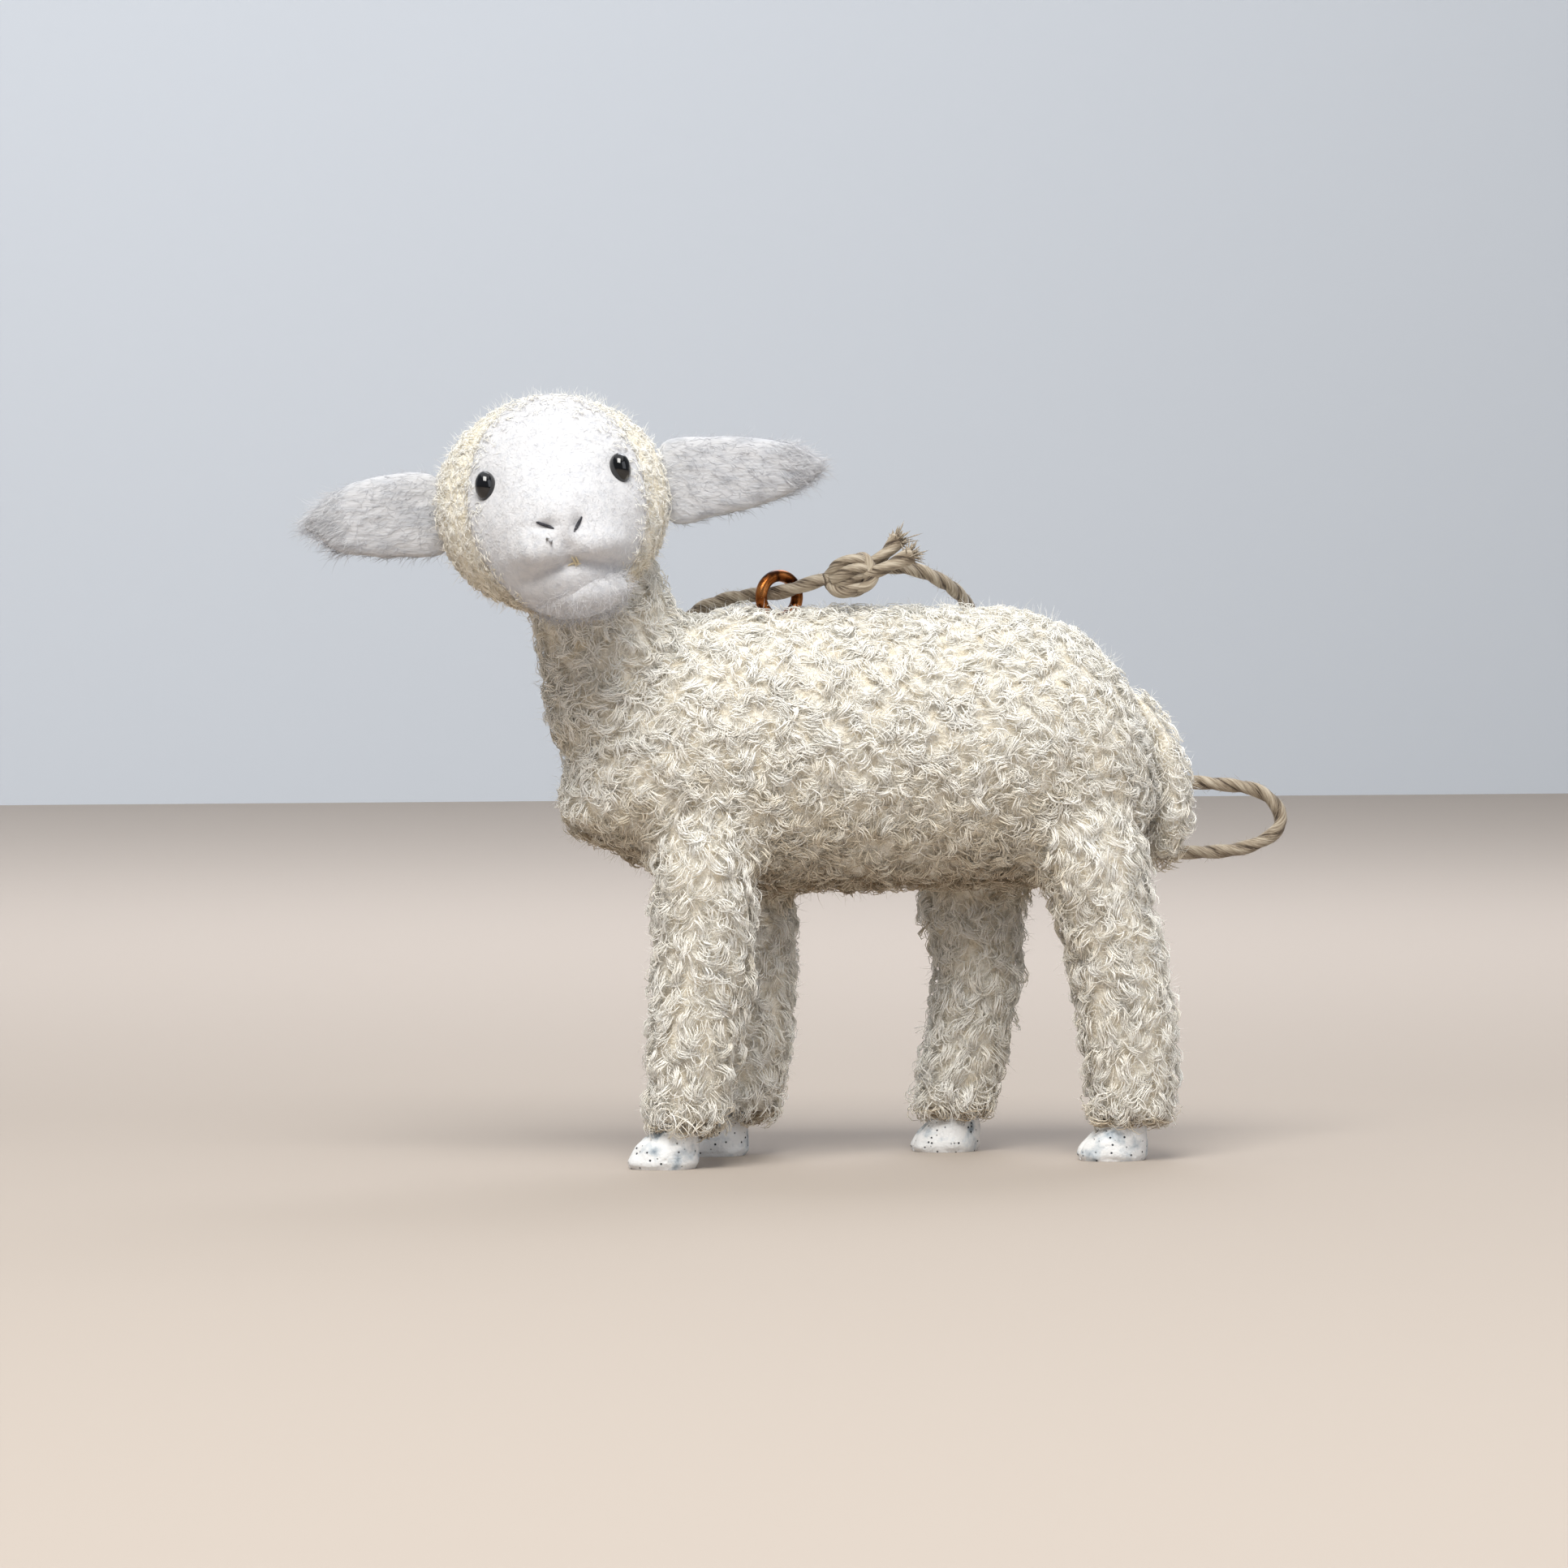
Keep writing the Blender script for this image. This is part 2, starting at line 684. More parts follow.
@dataclass
class Turf:
    """Triangles that fibres grow from, in millimetres, with smooth normals at their corners."""

    corners: np.ndarray
    normals: np.ndarray

    def area(self) -> np.ndarray:
        """Each triangle's area."""
        edges = self.corners[:, 1:] - self.corners[:, :1]
        return np.linalg.norm(np.cross(edges[:, 0], edges[:, 1]), axis=1) / 2

    def only(self, keep: np.ndarray) -> "Turf":
        """The triangles picked out by a mask."""
        return Turf(self.corners[keep], self.normals[keep])

    def roots(self, per_mm2: float, rng: np.random.Generator) -> tuple[np.ndarray, np.ndarray]:
        """Random places, even over the area, and the normals there.

        Args:
            per_mm2: how many on a square millimetre.
            rng: source of the places.

        Returns:
            The places and the unit normals.
        """
        area = self.area()
        count = int(area.sum() * per_mm2)
        face = rng.choice(len(area), size=count, p=area / area.sum())
        r = np.sqrt(rng.random(count))
        s = rng.random(count)
        weights = np.stack([1 - r, r * (1 - s), r * s], -1)[..., None]
        return (self.corners[face] * weights).sum(1), unit((self.normals[face] * weights).sum(1))


OWN_WAY = 0.12  # the share of fibres that don't follow their lock


def curls(turf: Turf, pile: Pile, rng: np.random.Generator, salt: int) -> Shell:
    """Grows curled fibres, gathered in locks, over a turf.

    A fibre's direction is built from two angles along its length. The pitch starts at the pile's
    rise and falls evenly until the tip points back down, and the heading turns faster and faster
    towards the tip, which makes a hook. The line is the sum of the directions, pulled towards the
    lock's middle as it goes. The fibres of one lock share their angles but for a little jitter.

    Args:
        turf: what they grow from.
        pile: their sizes.
        rng: source of the jitter.
        salt: makes this turf's locks differ from another's.

    Returns:
        The fibres in metres.
    """
    root, normal = turf.roots(pile.per_mm2, rng)
    count = len(root)
    lock, centre = locks(root, pile.lock, salt)
    own = rng.random(count) < OWN_WAY
    pick = lambda n: np.where(own, rng.random(count), scramble(lock, salt + n))
    angle, tip = 2 * np.pi * pick(11), 2 * np.pi * pick(12)
    wander = np.stack([np.cos(angle), np.sin(angle) * np.cos(tip), np.sin(angle) * np.sin(tip)], -1)
    wander = wander + rng.normal(0, pile.jitter, (count, 3)) + np.array(pile.combed)
    ahead = unit(wander - (wander * normal).sum(1, keepdims=True) * normal)
    beside = np.cross(normal, ahead)
    spread = lambda ends, share: ends[0] + (ends[1] - ends[0]) * share
    hand = np.where(pick(13) < 0.5, -1.0, 1.0)
    bend = hand * 2 * np.pi * spread(pile.curl, pick(14)) * rng.uniform(0.8, 1.2, count)
    length = spread(pile.length, 0.6 * pick(15) + 0.4 * rng.random(count))
    pitch = 2 * np.pi * spread(pile.rise, pick(16)) * rng.uniform(0.85, 1.15, count)

    s = np.linspace(0, 1, pile.steps)
    middle = (s[1:] + s[:-1]) / 2
    heading = bend[:, None] * (middle**1.5 - 0.25)
    slope = pitch[:, None] * (1 - 1.75 * middle)
    along = (
        (np.cos(slope) * np.cos(heading))[..., None] * ahead[:, None]
        + (np.cos(slope) * np.sin(heading))[..., None] * beside[:, None]
        + np.sin(slope)[..., None] * normal[:, None]
    )
    line = np.cumsum(along * (length / (pile.steps - 1))[:, None, None], axis=1)
    line = np.concatenate([np.zeros((count, 1, 3)), line], axis=1)
    pull = (centre - root) * pile.gather
    line = root[:, None] + line + np.sin(np.pi * s * 0.8)[None, :, None] * pull[:, None]
    taper = np.interp(s, [0, 0.3, 0.75, 1], [0.7, 1.0, 0.8, 0.3])
    thick = pile.radius * rng.uniform(0.65, 1.3, count)[:, None] * taper
    base = 0.5 * pick(17) + 0.5 * rng.random(count)
    shade = UNDERSIDE * np.clip(-normal[:, 2], 0, 1)
    lit = 0.74 + 0.26 * np.sin(np.pi * s * 0.7)
    tone = spread(pile.tone, base)[:, None] * lit - shade[:, None]
    return fibre_tubes(line * MM, thick * MM, unit(np.cross(ahead, beside + 0.3 * normal)), tone)


@dataclass(frozen=True)
class Fuzz:
    """How loose hairs stand out of a surface: sizes in millimetres.

    flat is 0 for hairs that stand straight out and 1 for hairs that lie along the surface.
    """

    per_mm2: float
    length: float
    radius: float = 0.03
    flat: float = 0.5
    tone: float = 0.9
    combed: tuple[float, float, float] = (0.0, 0.0, 0.0)
    steps: int = 4


def flyaways(turf: Turf, fuzz: Fuzz, rng: np.random.Generator) -> Shell:
    """Grows fine loose hairs that stand out of the pile and bend over.

    A hair is a straight run plus a sideways part that grows with the square of the distance.

    Args:
        turf: what they grow from.
        fuzz: their sizes.
        rng: source of their directions.

    Returns:
        The hairs in metres.
    """
    root, normal = turf.roots(fuzz.per_mm2, rng)
    count = len(root)
    away = rng.normal(0, 1, (count, 3)) + np.array(fuzz.combed)
    level = unit(away - (away * normal).sum(1, keepdims=True) * normal)
    start = unit(normal * (1 - fuzz.flat) + level * fuzz.flat)
    sideways = unit(np.cross(start, rng.normal(0, 1, (count, 3))))
    s = np.linspace(0, 1, fuzz.steps)[None, :, None]
    size = (fuzz.length * rng.uniform(0.4, 1.5, count))[:, None, None]
    bend = sideways[:, None] * rng.normal(0, 0.35, (count, 1, 1)) * s**2
    line = root[:, None] + size * (start[:, None] * s + bend)
    thick = fuzz.radius * np.linspace(1, 0.5, fuzz.steps)[None] * np.ones((count, 1))
    tone = np.repeat(fuzz.tone - UNDERSIDE * np.clip(-normal[:, 2:], 0, 1), fuzz.steps, axis=1)
    return fibre_tubes(line * MM, thick * MM, unit(np.cross(start, sideways)), tone)


# ---- frames and shared shapes -------------------------------------------------------------
X_AXIS, Y_AXIS, Z_AXIS = np.eye(3)
PLACE = np.array([3.95, 4.73, 0.0])  # the modelled lengths are centred by this shift, in mm


def turned(degrees: float, axis: int) -> np.ndarray:
    """Rotation matrix of an angle about X, Y or Z (0, 1 or 2).

    Args:
        degrees: the angle.
        axis: 0, 1 or 2 for X, Y or Z.

    Returns:
        The 3 by 3 matrix.
    """
    c, s = math.cos(math.radians(degrees)), math.sin(math.radians(degrees))
    a, b = (axis + 1) % 3, (axis + 2) % 3
    matrix = np.eye(3)
    matrix[a, a], matrix[a, b], matrix[b, a], matrix[b, b] = c, -s, s, c
    return matrix


@dataclass(frozen=True)
class HeadFrame:
    """The head's own frame: +X to the lamb's left ear, -Y out of the face and +Z to the crown."""

    at: tuple[float, float, float] = (-33.3, -3.0, 92.0)
    turn: float = -12.0
    tilt: float = -7.8

    def matrix(self) -> np.ndarray:
        """The rotation from the head's frame to the lamb's: tilt about Y, then turn about Z."""
        return turned(self.turn, 2) @ turned(self.tilt, 1)

    def out(self, points: np.ndarray) -> np.ndarray:
        """Takes points from the head's frame to the lamb's."""
        return points @ self.matrix().T + np.array(self.at)

    def place(self, shell: Shell) -> Shell:
        """A shell taken from the head's frame to the lamb's, without its UVs."""
        return Shell(self.out(shell.points), shell.faces)

    def back(self, points: np.ndarray) -> np.ndarray:
        """Takes points from the lamb's frame to the head's."""
        return (points - np.array(self.at)) @ self.matrix()


def read_mesh(obj: bpy.types.Object) -> tuple[np.ndarray, np.ndarray]:
    """Reads an object's mesh after its modifiers, as points and triangles.

    Args:
        obj: the object.

    Returns:
        Its points and its triangles.
    """
    evaluated = obj.evaluated_get(bpy.context.evaluated_depsgraph_get())
    mesh = evaluated.to_mesh()
    mesh.calc_loop_triangles()
    points = np.zeros(len(mesh.vertices) * 3, np.float32)
    mesh.vertices.foreach_get("co", points)
    faces = np.zeros(len(mesh.loop_triangles) * 3, np.int32)
    mesh.loop_triangles.foreach_get("vertices", faces)
    evaluated.to_mesh_clear()
    return points.reshape(-1, 3).astype(float), faces.reshape(-1, 3).astype(int)


def melted(shells: list[Shell], voxel: float, rounds: int) -> Shell:
    """Melts overlapping closed shells into one skin and rounds off its creases.

    Args:
        shells: closed shells in millimetres.
        voxel: the size of the remesh's cells.
        rounds: how many times the skin is smoothed.

    Returns:
        The skin in millimetres.
    """
    merged = Shell.join([Shell(s.points, s.faces) for s in shells])
    mesh = bpy.data.meshes.new("melt")
    mesh.from_pydata(merged.points.tolist(), [], merged.faces.tolist())
    obj = bpy.data.objects.new("melt", mesh)
    bpy.context.scene.collection.objects.link(obj)
    remesh = obj.modifiers.new("remesh", "REMESH")
    remesh.mode, remesh.voxel_size = "VOXEL", voxel
    soften = obj.modifiers.new("soften", "SMOOTH")
    soften.factor, soften.iterations = 0.5, rounds
    points, faces = read_mesh(obj)
    bpy.data.objects.remove(obj)
    bpy.data.meshes.remove(mesh)
    return Shell(points, faces)


def relaxed(shell: Shell, weight: np.ndarray, rounds: int) -> Shell:
    """Moves each point part of the way to the mean of its neighbours, over and over.

    Args:
        shell: a closed skin.
        weight: each point's share of the way, from 0 to 1.
        rounds: how many times.

    Returns:
        The softened skin.
    """
    f = shell.faces
    a = np.concatenate([f[:, 0], f[:, 1], f[:, 2]])
    b = np.concatenate([f[:, 1], f[:, 2], f[:, 0]])
    count = np.bincount(a, minlength=len(shell.points))[:, None]
    points = shell.points
    for _ in range(rounds):
        total = np.stack([np.bincount(a, points[b, n], len(points)) for n in range(3)], -1)
        points = points + weight[:, None] * (total / np.maximum(count, 1) - points)
    return Shell(points, f)


def corner_normals(shell: Shell) -> np.ndarray:
    """A smooth normal at each point: the sum of its triangles' normals, made unit length.

    Args:
        shell: the shell.

    Returns:
        The unit normals.
    """
    a, b, c = (shell.points[shell.faces[:, n]] for n in range(3))
    face = np.cross(b - a, c - a)
    total = np.zeros_like(shell.points)
    for n in range(3):
        np.add.at(total, shell.faces[:, n], face)
    return unit(total)


def ripple(points: np.ndarray, sizes: tuple[float, ...], salt: int) -> np.ndarray:
    """Smooth lumps from about -1 to 1: for each size in mm, sines along nine random directions.

    Args:
        points: places in millimetres.
        sizes: the widths of the lumps.
        salt: picks the directions.

    Returns:
        The height at each place.
    """
    rng = np.random.default_rng(salt)
    total = np.zeros(len(points))
    for size in sizes:
        waves = unit(rng.normal(size=(9, 3))) * (2 * np.pi / size)
        total += np.sin(points @ waves.T + rng.uniform(0, 2 * np.pi, 9)).sum(1) / 9 * 1.6
    return total / len(sizes)


def walled(shell: Shell, thickness: float) -> Shell:
    """Gives an open patch a wall: an inner copy along the normals, and a rim between the two.

    Args:
        shell: the patch, its faces pointing out.
        thickness: how far in the inner side lies, in the patch's unit.

    Returns:
        The closed shell.
    """
    used, index = np.unique(shell.faces, return_inverse=True)
    outer = Shell(shell.points[used], index.reshape(-1, 3))
    count = len(outer.points)
    inner = outer.points - corner_normals(outer) * thickness
    f = outer.faces
    edges = np.concatenate([f[:, [0, 1]], f[:, [1, 2]], f[:, [2, 0]]])
    rim = edges[~np.isin(edges[:, 0] * count + edges[:, 1], edges[:, 1] * count + edges[:, 0])]
    a, b = rim[:, 0], rim[:, 1]
    sides = [np.stack([b, a, a + count], -1), np.stack([b, a + count, b + count], -1)]
    faces = np.concatenate([f, f[:, ::-1] + count, *sides])
    return Shell(np.concatenate([outer.points, inner]), faces)


def turf_of(shell: Shell, keep: np.ndarray | None = None) -> Turf:
    """The triangles that fibres may grow from, with the shell's smooth normals."""
    faces = shell.faces if keep is None else shell.faces[keep]
    return Turf(shell.points[faces], corner_normals(shell)[faces])


def to_frame(points: np.ndarray) -> np.ndarray:
    """From the lamb's own millimetres to the row frame's metres."""
    return (points + PLACE) * MM


SALTS_PER_TURF = 40  # more than one turf's curls use, so that no two turfs share a lock


@dataclass
class Workshop:
    """Turns shells into finished pieces that ride on a body."""

    rng: np.random.Generator
    materials: dict[str, bpy.types.Material] = field(default_factory=dict)
    salt: int = 0

    def material(self, finish: Finish) -> bpy.types.Material:
        """The finish's material, made once."""
        if finish.name not in self.materials:
            self.materials[finish.name] = finish.build()
        return self.materials[finish.name]

    def piece(
        self,
        shell: Shell,
        name: str,
        finish: Finish,
        body: Body = Body.LAMB,
        stands_for: tuple = (),
        metres: bool = False,
    ) -> bpy.types.Object:
        """Makes one piece, riding on its body.

        Args:
            shell: its surface, in the lamb's millimetres unless metres is true.
            name: its name.
            finish: what it is made of.
            body: the body that it moves with.
            stands_for: the CAD nodes that it replaces.
            metres: whether the shell is already in the row frame.

        Returns:
            The object.
        """
        if not metres:
            shell = Shell(to_frame(shell.points), shell.faces, shell.uv, shell.values)
        obj = shell.to_object(name, finish, self.material(finish))
        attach(obj, body.value)
        if stands_for:
            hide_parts(*stands_for)
        log.info("%s: %d triangles on %s", name, len(shell.faces), body.value)
        return obj

    def grow(
        self, turf: Turf, pile: Pile, name: str, finish: Finish, body: Body = Body.LAMB
    ) -> None:
        """Grows curled wool on a turf as one piece."""
        self.salt += SALTS_PER_TURF
        placed = Turf(turf.corners + PLACE, turf.normals)
        self.piece(curls(placed, pile, self.rng, self.salt), name, finish, body, metres=True)

    def fuzz(
        self, turf: Turf, fuzz: Fuzz, name: str, finish: Finish, body: Body = Body.LAMB
    ) -> None:
        """Grows loose hairs on a turf as one piece."""
        placed = Turf(turf.corners + PLACE, turf.normals)
        self.piece(flyaways(placed, fuzz, self.rng), name, finish, body, metres=True)


# ---- finishes -----------------------------------------------------------------------------
# Mohair boucle: each curl is soft and matt with a silky edge light, darker towards its root.
BODY_CURLS = CurledWool("mohair_curls_cream", "body_fleece", 0.72, sheen=0.25)
HOOD_CURLS = CurledWool(
    "mohair_curls_hood", "hood_fleece", 0.74, sheen=0.25, low="#f8f0de", mid="#fefbf3"
)
# Felted underwool between the curls: matt, cream, with 1.6 mm mottling and a fine fuzz.
UNDERWOOL = {"patch": (1.6, 5.0), "grain": (0.5, 4.0), "depth_mm": 0.5}
BODY_BACKING = Mottled(
    "felted_underwool_cream", "body_fleece", 0.95,
    stops=((0.3, "#e9dec8"), (0.62, "#fcf8ee")), **UNDERWOOL,
)
HOOD_BACKING = Mottled(
    "felted_underwool_hood", "hood_fleece", 0.95,
    stops=((0.3, "#efe6d0"), (0.62, "#fcf7ea")), **UNDERWOOL,
)
# Needle-felted merino: bright, cool white with faint streaks where the fibres lie together.
FACE_FELT = NeedleFelt("needle_felted_wool_face", "white_felt", 0.9, sheen=0.3)
EAR_FELT = NeedleFelt(
    "needle_felted_wool_ears", "white_felt", 0.92, sheen=0.3, shade="#b0b3ba", white="#cbccd0",
    grey="#979ba6", speck_share=0.6, stretch=(0.14, 1, 1),
)
FELT_HAIR = CurledWool(
    "merino_fibre_white", "white_felt", 0.8, sheen=0.2, deep="#8f8a86", low="#b9bcc4", mid="#d4d5da",
    high="#e6e6e9",
)
# Pressed-glass bead: a hard black shine with one small bright reflection.
BEAD = Mottled(
    "black_pressed_glass", "black_glass", 0.06, coat=0.6, stops=((0.4, "#050507"), (0.8, "#101016")),
    patch=(2.0, 3.0), depth_mm=0,
)
# Stranded cotton: matt, with the faint unevenness of its twist.
DARK_THREAD = Mottled(
    "cotton_thread_charcoal", "dark_thread", 0.9, stops=((0.3, "#26262b"), (0.7, "#4a4a52")),
    patch=(0.3, 4.0), depth_mm=0.03,
)
PALE_THREAD = Mottled(
    "cotton_thread_straw", "beige_thread", 0.9, stops=((0.3, "#cbbb98"), (0.7, "#e6dabf")),
    patch=(0.3, 4.0), depth_mm=0.03,
)
# Cast plaster: chalky and matt, pitted and stained.
HOOF_PLASTER = Plaster("cast_plaster_chalk", "plaster", 0.8)
# Copper plate on steel wire: a warm metal shine, dark with tarnish where hands don't rub it.
COPPER = Mottled(
    "copper_plated_steel", "coppered_steel", 0.24, metallic=1.0,
    stops=((0.36, "#3a1d0e"), (0.5, "#8f5226"), (0.68, "#c98248")),
    patch=(1.8, 4.0), grain=(0.3, 3.0, (1, 1, 6)), depth_mm=0.01,
)
# Hemp: dry and matt, striped by its lay.
TWINE = HempTwine("laid_hemp_twine", "twine", 0.88, sheen=0.15)
# Inside: soft foam cores, cotton wrapping, drawn wire and a turned peg.
FOAM = Mottled(
    "soft_foam_core", "foam", 0.95, stops=((0.3, "#dcd6c8"), (0.7, "#ece7da")), patch=(1.2, 4.0),
    depth_mm=0.15,
)
BATTING = Mottled(
    "cotton_batting", "batting", 1.0, stops=((0.3, "#e2dfd8"), (0.7, "#f4f2ec")), patch=(0.8, 4.0),
    depth_mm=0.2,
)
WIRE = Mottled(
    "annealed_steel_wire", "steel_wire", 0.42, metallic=1.0,
    stops=((0.3, "#6d6e70"), (0.7, "#8b8c8e")), patch=(1.0, 4.0), depth_mm=0.01,
)
PEG = Mottled(
    "birch_dowel", "wood", 0.6, stops=((0.3, "#c9a777"), (0.7, "#e0c397")),
    patch=(0.8, 4.0, (1, 1, 0.12)), depth_mm=0.04,
)


# ---- the lamb -----------------------------------------------------------------------------
def lofted(keys: list, across: np.ndarray, upward: np.ndarray) -> Loft:
    """A loft from rows of (x, y, z, a, b) in millimetres."""
    return Loft(np.array(keys, dtype=float), across, upward)


@dataclass(frozen=True)
class Leg:
    """A leg's level ellipses, from its ankle up into the torso, and where its hoof stands."""

    name: str
    y: float
    hoof: float
    keys: tuple

    def loft(self) -> Loft:
        """The leg's outer form."""
        return lofted([(x, self.y, z, a, b) for x, z, a, b in self.keys], X_AXIS, Y_AXIS)


LEGS = (
    Leg("left_front", -9.5, -19.2, (
        (-16, 4.8, 5.9, 5.8), (-15.2, 13, 6.7, 6.4), (-13.8, 25, 7.4, 6.8),
        (-13.2, 37, 7.7, 7), (-12.8, 46, 7.8, 6.9), (-12.5, 54, 5, 4.5))),
    Leg("right_front", 9.5, -8.3, (
        (-4.4, 4.8, 5.8, 5.8), (-3.2, 13, 6.5, 6.3), (-3, 25, 7, 6.7),
        (-3.2, 37, 7.4, 7), (-3.4, 46, 7.6, 6.9), (-3.5, 54, 5, 4.5))),
    Leg("left_hind", -9.5, 45.0, (
        (48.2, 4.8, 6.3, 5.9), (47.9, 13, 7, 6.4), (46.4, 25, 7.4, 6.9),
        (43.4, 37, 7.6, 7.2), (40.6, 47, 9, 7.4), (38.5, 56, 5.5, 4.5))),
    Leg("right_hind", 9.5, 25.4, (
        (26.6, 4.8, 6.2, 5.9), (28.2, 13, 6.5, 6.3), (30.2, 25, 6.8, 6.7),
        (29.6, 36, 8.2, 7.1), (30.2, 46, 9.4, 7.2), (31, 56, 5.5, 4.5))),
)
TORSO = lofted([
    (-32.6, 0, 50.5, 0.8, 0.8), (-31.2, 0, 51.8, 6.2, 5.8), (-28, 0, 54.4, 10.4, 10.2),
    (-22, 0, 57, 14, 15.3), (-12, 0, 57.8, 16.3, 19.6), (3, 0, 57.8, 17, 20.3),
    (18, 0, 57.8, 17, 20.2), (32, 0, 57.9, 17.2, 20), (40, 0, 57.2, 16.5, 18.8),
    (46.5, 0, 55.5, 14.5, 15.8), (50.5, 0, 53.8, 11, 11.5), (52.8, 0, 52.5, 7, 6.5),
    (53.6, 0, 52, 0.8, 0.8),
], Y_AXIS, Z_AXIS)
NECK_LEAN = unit(np.array([-12.0, 0.0, 30.0]))
NECK = lofted([
    (-16, 0, 56, 12.5, 12.5), (-20.5, 0, 64, 13.4, 11.5), (-24, 0, 71, 11.4, 10.5),
    (-27, 0, 79, 10, 9.5), (-30, 0, 87, 9, 8.5),
], np.cross(Y_AXIS, NECK_LEAN), Y_AXIS)
TAIL_FORM = lofted([
    (50.4, 0, 66.4, 1.2, 1.6), (51.4, 0, 64.6, 2.2, 3.8), (53.6, 0, 60, 3.2, 5.4),
    (55.4, 0, 53, 3.7, 6), (55.7, 0, 46.5, 3.5, 5.8), (55.3, 0, 42, 2.6, 4), (55.1, 0, 40.4, 0.8, 1.2),
], X_AXIS, Y_AXIS)
HEAD = lofted([
    (0, 14.5, 0, 0.8, 0.8), (0, 13.5, 0, 5.5, 5), (0, 10.5, 0, 10.5, 9.8), (0, 5, 0, 15, 13.8),
    (0, -1, 0, 16.8, 15.3), (0, -6, -0.5, 16.4, 15.3), (0, -11, -2, 13.6, 13.3),
    (0, -15, -3.8, 10.8, 11), (0, -18.5, -5, 8.4, 8.6), (0, -21, -5.2, 5.6, 5.8),
    (0, -22.2, -5.1, 3.6, 3.7), (0, -22.8, -5, 1.8, 1.8), (0, -23, -5, 0.2, 0.2),
], X_AXIS, Z_AXIS)
HEAD_FRAME = HeadFrame()
EYE_AT = np.array([-0.7, 0.0, 78.9])


